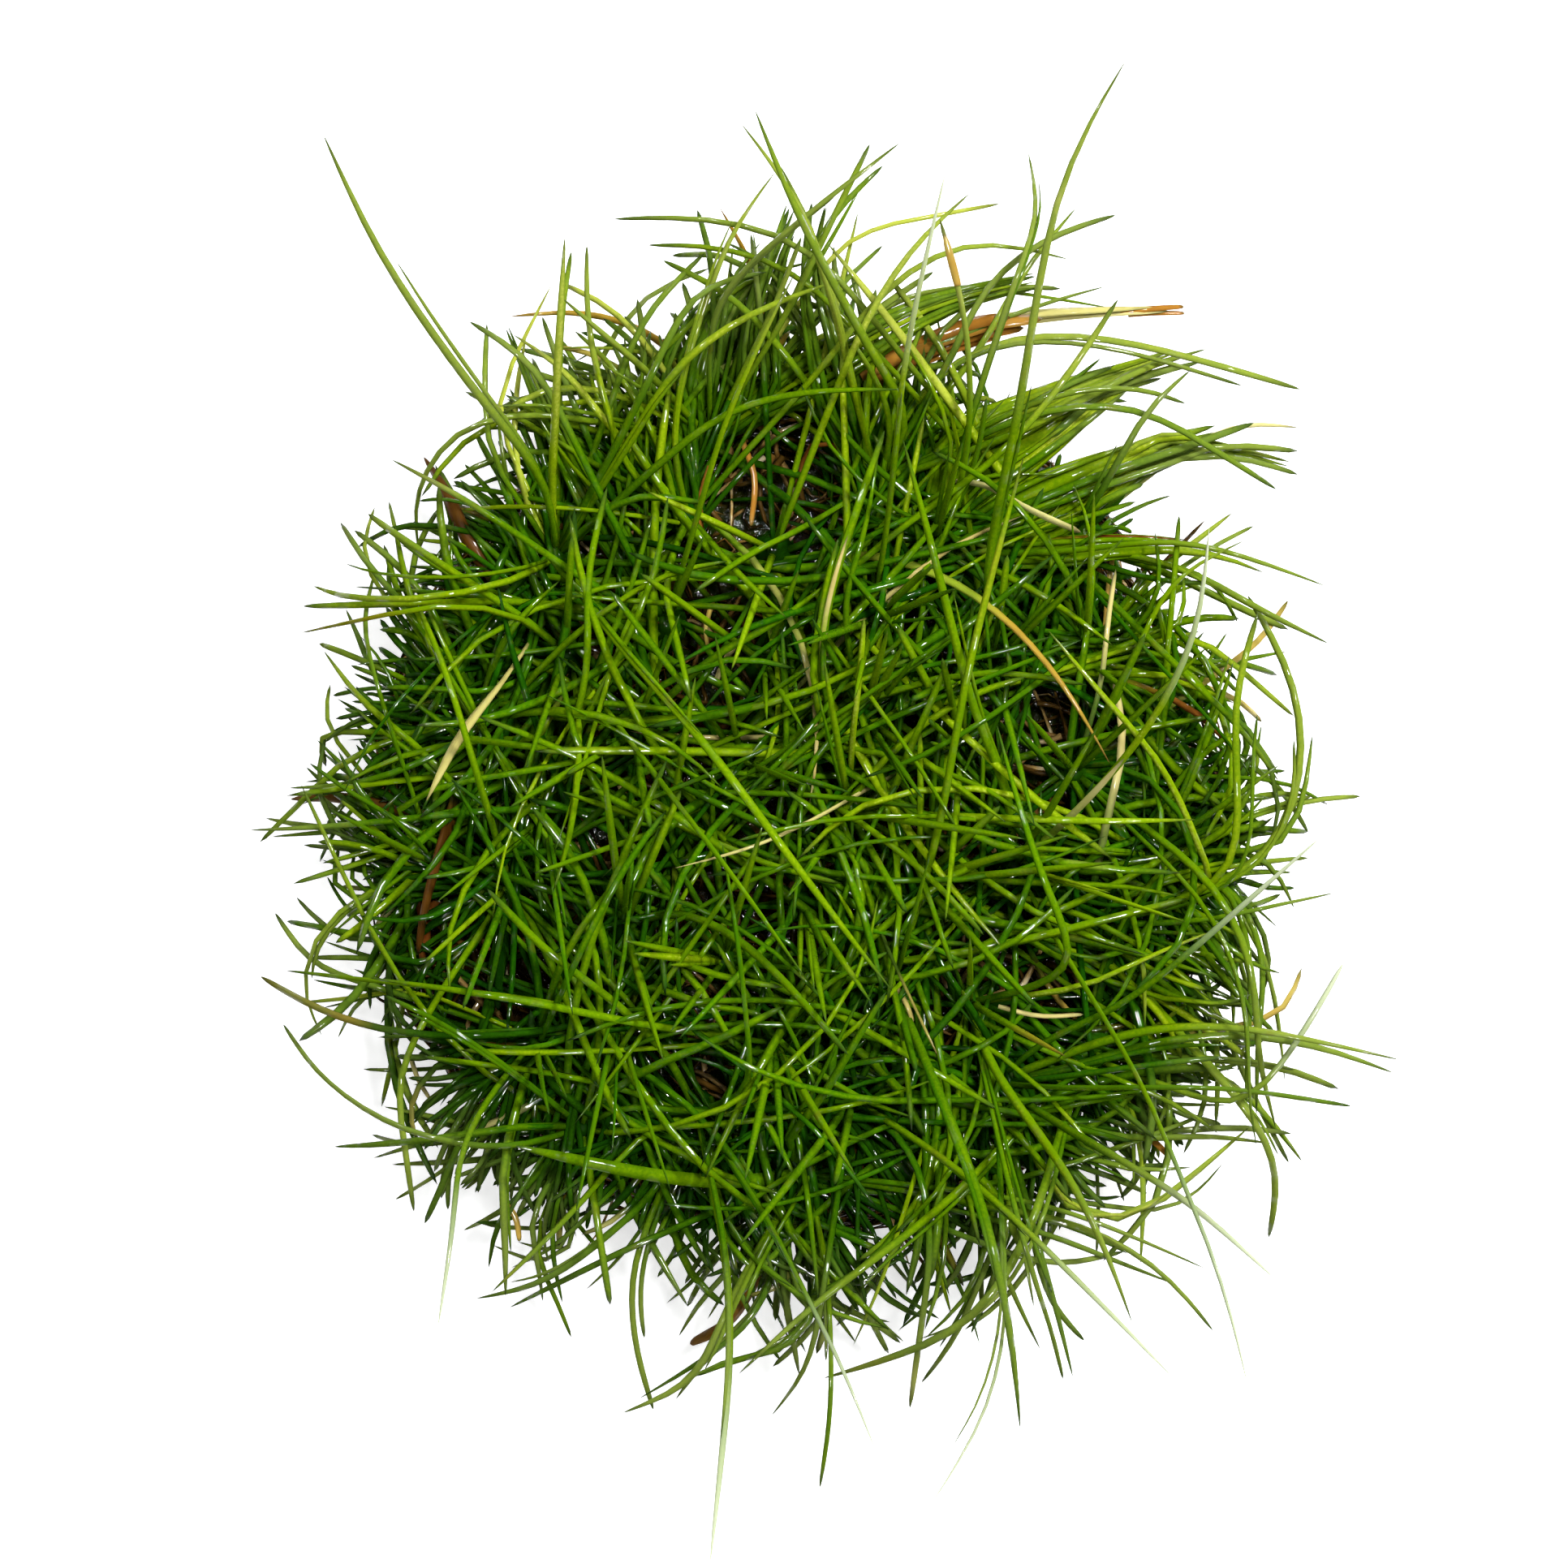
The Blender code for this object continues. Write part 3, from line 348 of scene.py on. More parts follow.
# The table, the light all round and the lamps: where each is in metres, how wide, its power in watts and
# whether it shows on dull and on wet surfaces
FLOOR_LEVEL = 0.0
TABLE_SIZE = 3
TABLE_WHITE = 0.93
TABLE_ROUGHNESS = 0.6
TABLE_GLOW = 0.55
SKY = 0.24
LAMPS = (
    ("key", (0.26, 0.22, 0.36), 0.07, 2.5, True, True),
    ("above", (0.16, 0.16, 0.85), 0.10, 4.3, True, False),
    ("left", (-0.75, 0.20, 0.75), 0.40, 1.2, True, False),
    ("near", (-0.10, -0.80, 0.80), 0.40, 0.7, True, False),
    ("far", (-0.15, 0.85, 0.85), 0.40, 2.8, True, False),
    ("glint_right", (0.22, 0.10, 0.95), 0.05, 12, False, True),
    ("glint_left", (-0.34, 0.25, 0.90), 0.05, 9, False, True),
    ("glint_near", (0.06, -0.36, 0.90), 0.05, 9, False, True),
)
LAMP_AIM = (0, 0, 0.01)
SENSOR_WIDTH = 36

# Leaves are traced in pixels, as an eye above sees them: the view's middle, its scale and where the eye is
VIEW_MIDDLE = 966
MM_PER_PIXEL = 0.0465
EYE_HEIGHT = 420
CANOPY_HEIGHT = 12
EYE_X, EYE_Y = -0.9, 1.6

# Leaves that stand out, each a width and a tip height in mm, then its pixels from the lower end to the tip
NORTH_LEAVES = (
    (0.85, 31, (700, 640), (600, 500), (525, 400), (460, 298), (398, 165)),
    (1.00, 27, (1120, 520), (1065, 420), (1012, 320), (965, 225), (930, 135)),
    (0.85, 30, (1215, 690), (1250, 540), (1275, 380), (1300, 250), (1345, 130), (1388, 73)),
    (0.60, 29, (1098, 610), (1115, 440), (1138, 330), (1165, 212)),
    (0.90, 22, (680, 610), (686, 480), (690, 390), (696, 292)),
    (0.75, 19, (1183, 600), (1196, 480), (1185, 370), (1158, 270)),
    (0.65, 20, (880, 380), (940, 310), (1000, 258), (1060, 218), (1110, 175)),
    (0.50, 22, (1010, 310), (950, 200), (913, 152)),
    (0.55, 14, (830, 520), (880, 340), (915, 265), (955, 212)),
    (0.55, 15, (1000, 330), (1035, 235), (1050, 200), (1072, 177)),
    (0.45, 12, (1035, 345), (985, 300), (900, 271), (755, 270)),
    (0.50, 12, (1190, 410), (1220, 345), (1265, 305), (1375, 265)),
    (0.50, 12, (1060, 400), (1124, 310), (1190, 297), (1318, 320)),
    (0.45, 9, (1238, 380), (1273, 300), (1277, 240), (1267, 188)),
    (0.60, 13, (1060, 410), (1115, 320), (1150, 275), (1195, 238)),
    (0.60, 14, (720, 570), (672, 470), (635, 432), (578, 396)),
    (0.50, 14, (757, 560), (745, 470), (719, 375), (723, 302)),
    (0.70, 16, (840, 520), (775, 435), (720, 400), (690, 365)),
    (0.50, 10, (606, 560), (597, 470), (600, 398)),
    (0.50, 12, (730, 500), (680, 440), (632, 412)),
    (0.50, 8, (710, 560), (640, 515), (572, 482)),
    (0.50, 9, (880, 360), (869, 290), (859, 258)),
    (0.80, 13, (800, 470), (830, 390), (880, 345), (945, 335)),
    (0.60, 9, (1030, 380), (1041, 305), (1057, 262)),
    (0.60, 8, (1020, 370), (1062, 322), (1088, 302)),
    (0.50, 8, (1235, 390), (1268, 325), (1300, 285), (1326, 256)),
    (0.50, 7, (1080, 395), (1145, 360), (1230, 358), (1380, 382)),
    (0.50, 8, (950, 345), (880, 321), (828, 315)),
)
EAST_LEAVES = (
    (1.00, 15, (1310, 1300), (1430, 1265), (1540, 1267), (1640, 1287), (1725, 1306)),
    (0.75, 24, (1290, 1280), (1380, 1240), (1440, 1195), (1520, 1125), (1627, 1032)),
    (0.80, 26, (1325, 1000), (1410, 905), (1450, 830), (1477, 765), (1490, 650)),
    (0.60, 10, (1150, 455), (1230, 420), (1320, 412), (1440, 434), (1603, 480)),
    (0.75, 12, (1320, 645), (1440, 695), (1540, 745), (1637, 793)),
    (0.90, 11, (1290, 685), (1400, 665), (1500, 676), (1633, 722)),
    (0.90, 9, (1280, 615), (1400, 570), (1480, 545), (1545, 521)),
    (0.60, 15, (1060, 690), (1180, 600), (1260, 540), (1320, 455), (1378, 368)),
    (0.80, 8, (1250, 535), (1350, 485), (1420, 450), (1487, 430)),
    (0.70, 7, (1330, 610), (1430, 565), (1520, 549), (1600, 556)),
    (0.55, 13, (1350, 620), (1400, 525), (1435, 485), (1468, 455)),
    (0.60, 8, (1300, 500), (1390, 500), (1480, 545), (1573, 603)),
    (0.60, 14, (1385, 850), (1420, 745), (1470, 700), (1533, 666)),
    (0.50, 7, (1430, 700), (1480, 662), (1518, 632)),
    (0.60, 6, (1440, 710), (1500, 671), (1545, 648)),
    (0.80, 12, (1480, 1095), (1550, 1065), (1590, 1010), (1604, 930), (1590, 830), (1537, 733)),
    (0.50, 7, (1500, 1020), (1560, 1000), (1610, 987), (1677, 981)),
    (0.70, 16, (1512, 1080), (1522, 930), (1524, 830), (1550, 755)),
    (0.80, 12, (1445, 1010), (1490, 905), (1520, 815)),
    (0.50, 8, (1400, 780), (1470, 785), (1530, 828), (1595, 883)),
    (0.60, 8, (1470, 840), (1535, 905), (1575, 962)),
    (0.50, 9, (1390, 1105), (1500, 1070), (1613, 1057)),
    (0.60, 12, (1370, 1152), (1480, 1134), (1580, 1114), (1645, 1100)),
    (0.55, 6, (1500, 1095), (1545, 1150), (1570, 1225), (1583, 1333)),
    (0.60, 14, (1530, 1360), (1600, 1280), (1632, 1235), (1655, 1187)),
    (0.80, 10, (1340, 1310), (1450, 1278), (1560, 1277), (1650, 1297), (1717, 1322)),
    (0.60, 8, (1370, 1312), (1480, 1304), (1570, 1313), (1650, 1342)),
    (0.60, 10, (1330, 1342), (1460, 1338), (1560, 1347), (1665, 1363)),
    (0.50, 7, (1370, 1397), (1480, 1387), (1592, 1397)),
    (0.55, 5, (1490, 1320), (1560, 1375), (1605, 1432)),
    (0.70, 9, (1515, 1110), (1545, 1210), (1550, 1300), (1572, 1390)),
    (0.70, 5, (1520, 1350), (1562, 1405), (1573, 1460), (1563, 1525)),
    (0.70, 8, (1340, 1515), (1440, 1465), (1500, 1425), (1540, 1388)),
)
SOUTH_LEAVES = (
    (1.00, 28, (878, 1400), (893, 1540), (899, 1690), (885, 1830), (875, 1925)),
    (0.85, 27, (1320, 1190), (1400, 1320), (1450, 1440), (1500, 1560), (1537, 1705)),
    (0.85, 25, (1235, 1345), (1330, 1400), (1430, 1458), (1500, 1510), (1570, 1575)),
    (0.70, 25, (1085, 1370), (1180, 1440), (1300, 1550), (1445, 1697)),
    (0.45, 28, (1235, 1500), (1238, 1640), (1215, 1740), (1145, 1857)),
    (0.60, 22, (945, 1500), (1000, 1610), (1040, 1690), (1078, 1785)),
    (0.60, 22, (578, 1390), (560, 1500), (548, 1580), (540, 1633)),
    (1.00, 20, (1225, 1320), (1290, 1410), (1345, 1500), (1395, 1630)),
    (1.00, 20, (1195, 1440), (1230, 1560), (1245, 1640), (1257, 1760)),
    (0.75, 18, (1160, 1490), (1060, 1560), (1000, 1610), (910, 1693)),
    (0.65, 9, (1020, 1570), (1023, 1700), (1022, 1750), (1010, 1833)),
    (0.60, 12, (1240, 1475), (1350, 1505), (1430, 1540), (1485, 1563)),
    (0.60, 8, (1270, 1495), (1380, 1530), (1440, 1575), (1495, 1640)),
    (0.55, 6, (1255, 1510), (1290, 1620), (1310, 1700)),
    (0.50, 8, (1270, 1500), (1303, 1620), (1322, 1697)),
    (0.55, 9, (1142, 1450), (1138, 1600), (1121, 1735)),
    (0.90, 8, (1255, 1550), (1180, 1640), (1100, 1672), (1015, 1698)),
    (0.60, 5, (1205, 1580), (1170, 1665), (1135, 1704)),
    (0.50, 7, (1012, 1600), (990, 1695), (950, 1745)),
    (0.80, 10, (905, 1590), (880, 1675), (830, 1712), (767, 1741)),
    (0.50, 5, (790, 1530), (777, 1620), (805, 1737)),
    (0.50, 4, (660, 1530), (688, 1605), (704, 1648)),
    (0.60, 11, (712, 1400), (738, 1520), (752, 1608)),
    (0.60, 7, (805, 1470), (700, 1560), (640, 1590), (587, 1600)),
    (0.55, 5, (770, 1540), (690, 1580), (628, 1611)),
    (0.60, 12, (795, 1395), (700, 1500), (605, 1593)),
    (0.80, 10, (620, 1430), (622, 1520), (623, 1598)),
    (0.50, 7, (575, 1390), (545, 1460), (523, 1508)),
    (0.50, 8, (500, 1300), (498, 1400), (510, 1493)),
    (0.45, 5, (580, 1415), (530, 1452), (487, 1478)),
    (0.50, 10, (1388, 1350), (1408, 1440), (1405, 1558)),
)
WEST_LEAVES = (
    (0.60, 9, (690, 995), (520, 1007), (400, 1019), (307, 1023)),
    (0.60, 7, (700, 1268), (540, 1277), (420, 1255), (321, 1203)),
    (0.60, 6, (590, 1418), (500, 1394), (410, 1340), (349, 1262)),
    (0.90, 12, (500, 1070), (465, 1190), (420, 1245), (368, 1283)),
    (0.55, 12, (610, 745), (480, 758), (370, 780)),
    (0.60, 10, (665, 742), (500, 744), (373, 747)),
    (0.60, 13, (725, 718), (600, 632), (520, 587), (482, 566)),
    (0.65, 10, (650, 765), (520, 680), (453, 633)),
    (0.60, 8, (605, 1005), (500, 905), (430, 850), (399, 802)),
    (0.45, 8, (510, 760), (450, 692), (419, 643)),
    (0.50, 7, (507, 745), (490, 650), (479, 617)),
    (0.50, 7, (590, 730), (450, 738), (386, 722)),
    (0.50, 8, (462, 835), (448, 760), (463, 702)),
    (0.50, 6, (550, 885), (450, 815), (393, 793)),
    (0.45, 6, (445, 925), (370, 990), (320, 1038)),
    (0.45, 11, (590, 1005), (490, 1048), (361, 1089)),
    (0.50, 4, (490, 1158), (405, 1148), (365, 1105)),
    (0.45, 5, (440, 1207), (380, 1182), (339, 1125)),
    (0.50, 5, (505, 1065), (420, 1118), (374, 1200), (397, 1277)),
    (0.50, 8, (650, 1230), (500, 1213), (353, 1196)),
    (0.55, 6, (630, 1388), (520, 1406), (411, 1413)),
    (0.45, 4, (495, 1240), (484, 1310), (470, 1364)),
    (0.60, 6, (520, 905), (430, 900), (390, 907), (383, 930), (402, 945)),
    (0.45, 6, (600, 505), (560, 540), (522, 590), (505, 640), (518, 690)),
)
TOP_LEAVES = (
    (1.20, 17, (1035, 925), (1010, 830), (1025, 720), (1055, 630), (1090, 530)),
    (0.80, 22, (695, 825), (800, 945), (900, 1075), (992, 1205)),
    (0.85, 19, (755, 785), (880, 930), (990, 1080), (1100, 1222)),
    (0.90, 21, (1250, 1000), (1213, 915), (1180, 800), (1150, 680), (1112, 540)),
    (0.75, 21, (1142, 1210), (1160, 1010), (1190, 835), (1262, 560)),
    (0.60, 23, (830, 745), (870, 600), (905, 490), (980, 335)),
    (0.90, 19, (840, 1125), (920, 1165), (990, 1235), (1045, 1300)),
    (0.85, 17, (995, 972), (1090, 1035), (1150, 1085), (1212, 1152)),
    (0.70, 18, (1320, 1190), (1275, 1060), (1228, 892)),
    (0.80, 18, (965, 1415), (1005, 1365), (1050, 1290), (1092, 1222)),
    (0.70, 17, (820, 565), (900, 505), (1000, 482), (1110, 480)),
    (1.10, 15, (885, 1457), (760, 1440), (680, 1420), (635, 1412)),
    (0.80, 16, (805, 1278), (700, 1190), (650, 1155), (600, 1095)),
    (0.80, 16, (770, 1330), (870, 1288), (965, 1240)),
    (0.70, 16, (925, 1335), (915, 1230), (905, 1130), (890, 1040)),
    (0.70, 14, (790, 1262), (640, 1232), (455, 1205)),
    (0.70, 14, (650, 1335), (560, 1270), (470, 1225)),
    (0.75, 15, (820, 475), (880, 402), (950, 377), (1035, 345)),
    (0.70, 16, (870, 815), (960, 765), (1025, 715)),
    (0.60, 15, (722, 835), (725, 700), (748, 600)),
    (0.60, 14, (574, 908), (550, 830), (515, 745)),
)
LEAVES = NORTH_LEAVES + EAST_LEAVES + SOUTH_LEAVES + WEST_LEAVES + TOP_LEAVES

# Dead leaves, tan, gold or rust, in the same form
DEAD_LEAVES = (
    (0.90, 5, (540, 1010), (430, 983), (358, 985)),
    (0.70, 17, (690, 770), (608, 855), (572, 895), (550, 955), (525, 988)),
    (0.50, 19, (1090, 960), (1025, 998), (905, 1053), (830, 1070)),
    (0.65, 16, (1070, 682), (1200, 730), (1300, 830), (1368, 942)),
    (0.70, 18, (1090, 1160), (1115, 1215), (1130, 1250), (1155, 1300)),
    (0.70, 17, (1160, 580), (1215, 598), (1275, 632), (1332, 656)),
    (0.60, 8, (870, 470), (830, 432), (770, 398), (700, 384), (628, 390)),
    (0.80, 7, (590, 690), (545, 595), (522, 563)),
    (1.00, 4, (940, 1560), (890, 1640), (850, 1655)),
    (1.20, 9, (545, 1040), (525, 1110), (515, 1175)),
    (0.50, 9, (940, 390), (908, 288), (887, 256)),
    (1.30, 6, (1100, 440), (1200, 396), (1300, 386), (1458, 376)),
)

# Further single leaves that the eye can follow, each a tone, a width and a tip height, then its pixels.
# Tones run from 0, dark, to 1, pale yellow-green, and a tone below 0 is a dry leaf
MORE_LEAVES = (
    (0.85, 0.45, 9, (775, 395), (750, 378), (720, 362), (690, 348)),
    (0.55, 0.40, 10, (692, 380), (698, 330), (704, 310)),
    (0.90, 0.35, 8, (610, 500), (620, 470), (637, 438), (652, 397), (680, 350)),
    (0.25, 0.45, 9, (700, 480), (680, 430), (668, 390)),
    (0.20, 0.40, 8, (690, 500), (665, 460), (655, 440)),
    (0.95, 0.40, 7, (657, 652), (647, 616), (634, 560), (637, 480), (648, 415)),
    (0.50, 0.50, 8, (520, 725), (500, 705), (460, 670), (436, 653)),
    (0.75, 0.30, 7, (457, 712), (457, 660), (462, 624)),
    (0.20, 0.45, 7, (535, 645), (490, 648), (465, 658), (440, 675)),
    (0.45, 0.50, 9, (760, 775), (690, 750), (650, 742), (590, 735), (510, 728), (437, 723)),
    (0.20, 0.45, 5, (480, 850), (455, 810), (433, 770), (426, 750)),
    (0.30, 0.40, 6, (500, 845), (450, 850), (410, 857)),
    (0.70, 0.30, 5, (405, 897), (400, 860), (407, 843)),
    (0.30, 0.50, 5, (500, 1000), (430, 955), (395, 925)),
    (0.15, 0.60, 6, (450, 1000), (400, 970), (377, 945)),
    (0.45, 0.50, 9, (600, 893), (560, 915), (520, 942), (470, 960), (420, 966), (356, 971)),
    (0.55, 0.50, 13, (615, 793), (650, 755), (690, 715)),
    (0.50, 0.45, 12, (610, 851), (520, 847), (470, 847)),
    (0.55, 0.50, 14, (545, 918), (620, 922), (760, 925)),
    (0.55, 0.50, 14, (480, 1000), (520, 975), (600, 958), (680, 945), (770, 925)),
    (0.55, 0.45, 14, (600, 862), (660, 877), (770, 895)),
    (0.50, 0.50, 14, (780, 1010), (730, 955), (705, 925)),
    (0.40, 0.45, 12, (1000, 330), (1030, 240), (1065, 218), (1088, 204)),
    (0.40, 0.50, 12, (1020, 302), (1058, 245), (1067, 218)),
    (0.40, 0.45, 12, (1010, 320), (997, 258), (975, 225), (962, 205)),
    (0.45, 0.50, 11, (940, 400), (890, 360), (840, 332), (817, 321)),
    (0.40, 0.45, 11, (780, 420), (800, 385), (830, 350), (868, 312)),
    (0.20, 0.40, 10, (935, 360), (930, 305), (925, 288)),
    (0.25, 0.40, 10, (895, 370), (920, 312), (938, 298)),
    (0.35, 0.40, 10, (945, 330), (955, 285), (970, 250)),
    (0.85, 0.28, 9, (1030, 310), (1080, 285), (1160, 264), (1232, 251)),
    (0.40, 0.50, 10, (1070, 390), (1110, 360), (1150, 335)),
    (0.45, 0.50, 9, (1060, 400), (1130, 360), (1195, 351)),
    (0.80, 0.75, 15, (1105, 405), (1080, 375), (1050, 340), (1020, 300)),
    (0.60, 0.50, 15, (1100, 520), (1070, 455), (1050, 420)),
    (0.60, 0.50, 15, (1175, 540), (1150, 480), (1115, 420)),
    (0.35, 0.45, 8, (1180, 370), (1250, 365), (1308, 356)),
    (0.35, 0.45, 8, (1230, 395), (1300, 372), (1345, 363), (1362, 353)),
    (0.10, 0.60, 8, (1350, 490), (1400, 458), (1430, 445), (1460, 438)),
    (0.30, 0.50, 8, (1320, 500), (1370, 480), (1420, 455), (1478, 446)),
    (0.35, 0.45, 8, (1310, 505), (1375, 480), (1431, 466)),
    (0.30, 0.50, 9, (1280, 495), (1330, 465), (1358, 440)),
    (0.30, 0.45, 9, (1270, 500), (1320, 470), (1375, 450)),
    (0.40, 0.45, 8, (1240, 500), (1310, 487), (1390, 495)),
    (-1.0, 0.40, 6, (1480, 540), (1545, 524), (1570, 517), (1600, 527)),
    (0.30, 0.50, 7, (1430, 572), (1500, 563), (1540, 567), (1600, 585)),
    (0.45, 0.50, 11, (1340, 630), (1370, 612), (1409, 596)),
    (0.45, 0.50, 11, (1290, 650), (1360, 630), (1400, 618)),
    (0.35, 0.55, 10, (1200, 620), (1300, 550), (1390, 480)),
    (0.35, 0.55, 9, (1300, 620), (1400, 585), (1500, 550)),
    (0.50, 0.45, 12, (1440, 780), (1450, 700), (1453, 635)),
    (0.45, 0.45, 12, (1420, 760), (1424, 690), (1423, 655)),
    (0.50, 0.60, 8, (1360, 680), (1460, 715), (1540, 755), (1588, 776)),
    (-0.6, 0.45, 7, (1540, 800), (1570, 765), (1587, 740)),
    (0.45, 0.45, 9, (1470, 700), (1500, 735), (1525, 767)),
    (0.40, 0.45, 7, (1440, 830), (1520, 815), (1585, 803)),
    (0.40, 0.45, 7, (1480, 817), (1530, 817), (1574, 832)),
    (-0.7, 0.35, 6, (1500, 850), (1535, 875), (1555, 890)),
    (0.45, 0.40, 8, (1475, 850), (1490, 810), (1513, 778)),
    (0.40, 0.40, 9, (1440, 830), (1460, 800), (1484, 778)),
    (0.50, 0.45, 12, (1445, 775), (1452, 750), (1458, 700)),
    (0.50, 0.45, 12, (1440, 820), (1433, 780), (1425, 740)),
    (0.40, 0.45, 6, (1500, 860), (1530, 895), (1545, 920), (1575, 955)),
    (0.40, 0.45, 6, (1450, 945), (1520, 950), (1585, 950)),
    (0.45, 0.45, 10, (1590, 1040), (1600, 1000), (1608, 975), (1618, 930), (1617, 905)),
    (0.40, 0.40, 8, (1560, 960), (1610, 975), (1637, 992)),
    (-0.9, 0.60, 12, (1370, 980), (1380, 930), (1388, 890), (1372, 835)),
    (-0.9, 0.30, 12, (1355, 850), (1363, 780), (1375, 700)),
    (0.80, 0.55, 17, (1510, 1112), (1474, 1037), (1439, 955), (1388, 884), (1350, 850), (1290, 775)),
    (0.65, 0.50, 14, (1245, 712), (1310, 750), (1373, 797)),
    (0.75, 0.55, 16, (1210, 1007), (1370, 1012), (1420, 1008), (1474, 1010)),
    (0.60, 0.50, 17, (820, 715), (830, 770), (852, 867)),
    (0.60, 0.50, 17, (855, 640), (895, 690), (930, 728), (970, 762)),
    (0.80, 0.50, 18, (1042, 990), (1052, 890), (1060, 830), (1065, 760)),
    (0.55, 0.50, 17, (1080, 615), (990, 650), (910, 690), (855, 730)),
    (0.60, 0.50, 17, (1095, 990), (1115, 935), (1145, 870), (1168, 815)),
    (0.50, 0.50, 16, (905, 890), (1000, 820)),
    (0.50, 0.50, 15, (770, 615), (870, 620)),
    (0.45, 0.45, 5, (430, 1025), (370, 1017), (327, 1008)),
    (0.45, 0.45, 5, (500, 1018), (430, 1023), (335, 1031)),
    (0.40, 0.40, 6, (440, 990), (413, 1030), (394, 1062)),
    (0.50, 0.35, 8, (455, 1115), (453, 1070), (449, 1030)),
    (0.40, 0.35, 7, (440, 1110), (437, 1075), (440, 1035)),
    (0.35, 0.35, 7, (470, 1105), (466, 1065), (461, 1032)),
    (0.45, 0.35, 6, (428, 1108), (424, 1070), (418, 1042)),
    (0.40, 0.45, 6, (470, 1150), (440, 1140), (412, 1120), (403, 1080)),
    (0.40, 0.45, 5, (470, 1147), (400, 1143), (353, 1135)),
    (0.35, 0.40, 5, (500, 1190), (445, 1178), (400, 1160)),
    (0.45, 0.40, 5, (500, 1182), (440, 1180), (384, 1180)),
    (0.35, 0.40, 4, (500, 1222), (440, 1218), (385, 1207)),
    (0.90, 0.40, 5, (520, 1222), (470, 1226), (375, 1235)),
    (0.35, 0.40, 4, (470, 1225), (420, 1235), (397, 1242)),
    (0.35, 0.40, 4, (460, 1220), (425, 1250), (416, 1280)),
    (0.35, 0.40, 4, (520, 1410), (475, 1408), (458, 1398)),
    (0.40, 0.45, 5, (560, 1400), (500, 1415), (460, 1427)),
    (0.40, 0.45, 5, (650, 1420), (580, 1430), (483, 1435)),
    (0.50, 0.50, 9, (700, 1272), (580, 1273), (467, 1278)),
    (0.55, 0.50, 12, (740, 1285), (660, 1292), (580, 1283)),
    (0.60, 0.50, 15, (700, 1165), (730, 1125), (770, 1075)),
    (0.60, 0.50, 16, (775, 1165), (850, 1192), (965, 1217)),
    (0.60, 0.50, 15, (785, 1215), (870, 1238), (940, 1250)),
    (0.60, 0.50, 15, (795, 1135), (845, 1195), (905, 1290)),
    (0.60, 0.50, 15, (1000, 1227), (1040, 1200), (1097, 1172)),
    (0.60, 0.50, 16, (1115, 1040), (1145, 1110), (1175, 1195)),
    (0.60, 0.50, 14, (1070, 1270), (1150, 1320), (1230, 1367)),
    (0.50, 0.50, 12, (770, 1365), (920, 1375)),
    (0.60, 0.50, 13, (920, 1340), (955, 1400), (985, 1460)),
    (0.50, 0.50, 12, (985, 1340), (1015, 1395), (1070, 1405)),
    (0.40, 0.45, 6, (1480, 1110), (1545, 1117), (1578, 1102)),
    (0.85, 0.50, 14, (1335, 1215), (1400, 1185), (1500, 1145)),
    (0.40, 0.45, 9, (1560, 1050), (1570, 1070), (1595, 1120)),
    (0.40, 0.45, 8, (1460, 1080), (1530, 1075), (1592, 1075)),
    (0.40, 0.45, 7, (1500, 1015), (1550, 1020), (1590, 1030), (1612, 1025)),
    (0.35, 0.40, 6, (1550, 950), (1590, 985), (1612, 1026)),
    (-0.6, 0.45, 8, (1560, 1255), (1575, 1235), (1604, 1192)),
    (0.50, 0.50, 12, (1285, 1380), (1340, 1355), (1400, 1350)),
    (0.40, 0.40, 5, (1540, 1340), (1565, 1385), (1588, 1433)),
    (0.50, 0.50, 8, (1350, 1400), (1450, 1397), (1567, 1409)),
    (0.50, 0.50, 9, (1530, 1110), (1537, 1250), (1535, 1380)),
    (0.45, 0.45, 9, (1545, 1115), (1550, 1240), (1548, 1375)),
    (0.40, 0.45, 5, (1410, 1488), (1440, 1490), (1495, 1455), (1507, 1433)),
    (0.40, 0.40, 5, (560, 1410), (555, 1455), (552, 1491)),
    (0.40, 0.40, 5, (640, 1480), (610, 1495), (571, 1516)),
    (0.35, 0.40, 6, (640, 1470), (615, 1505), (603, 1540), (602, 1562)),
    (0.40, 0.40, 6, (700, 1520), (665, 1550), (630, 1562)),
    (0.40, 0.40, 5, (700, 1530), (655, 1533), (638, 1530)),
    (0.35, 0.40, 4, (700, 1555), (655, 1552), (607, 1534)),
    (0.40, 0.40, 6, (655, 1500), (663, 1560), (669, 1604)),
    (0.40, 0.40, 6, (680, 1510), (685, 1570), (693, 1605)),
    (0.45, 0.40, 6, (800, 1500), (765, 1548), (722, 1589)),
    (0.40, 0.40, 6, (850, 1500), (820, 1548), (810, 1574)),
    (0.40, 0.40, 5, (880, 1540), (860, 1572), (821, 1606)),
    (0.40, 0.40, 5, (890, 1540), (865, 1575), (847, 1610)),
    (0.40, 0.45, 6, (920, 1540), (880, 1585), (850, 1620), (836, 1647)),
    (0.40, 0.40, 6, (910, 1560), (895, 1600), (872, 1625)),
    (0.40, 0.50, 6, (940, 1600), (900, 1635), (860, 1690), (832, 1725)),
    (0.40, 0.50, 6, (940, 1605), (890, 1650), (840, 1695), (788, 1723)),
    (0.45, 0.40, 6, (900, 1560), (935, 1640), (963, 1678)),
    (0.40, 0.40, 6, (1030, 1580), (985, 1655), (952, 1684)),
    (0.15, 0.60, 7, (960, 1540), (970, 1600), (975, 1640), (985, 1695)),
    (0.40, 0.45, 5, (1000, 1580), (1040, 1610), (1065, 1622), (1110, 1655)),
    (0.40, 0.40, 5, (1000, 1590), (1050, 1618), (1097, 1629)),
    (0.85, 0.50, 10, (1110, 1505), (1100, 1540), (1080, 1595), (1051, 1658)),
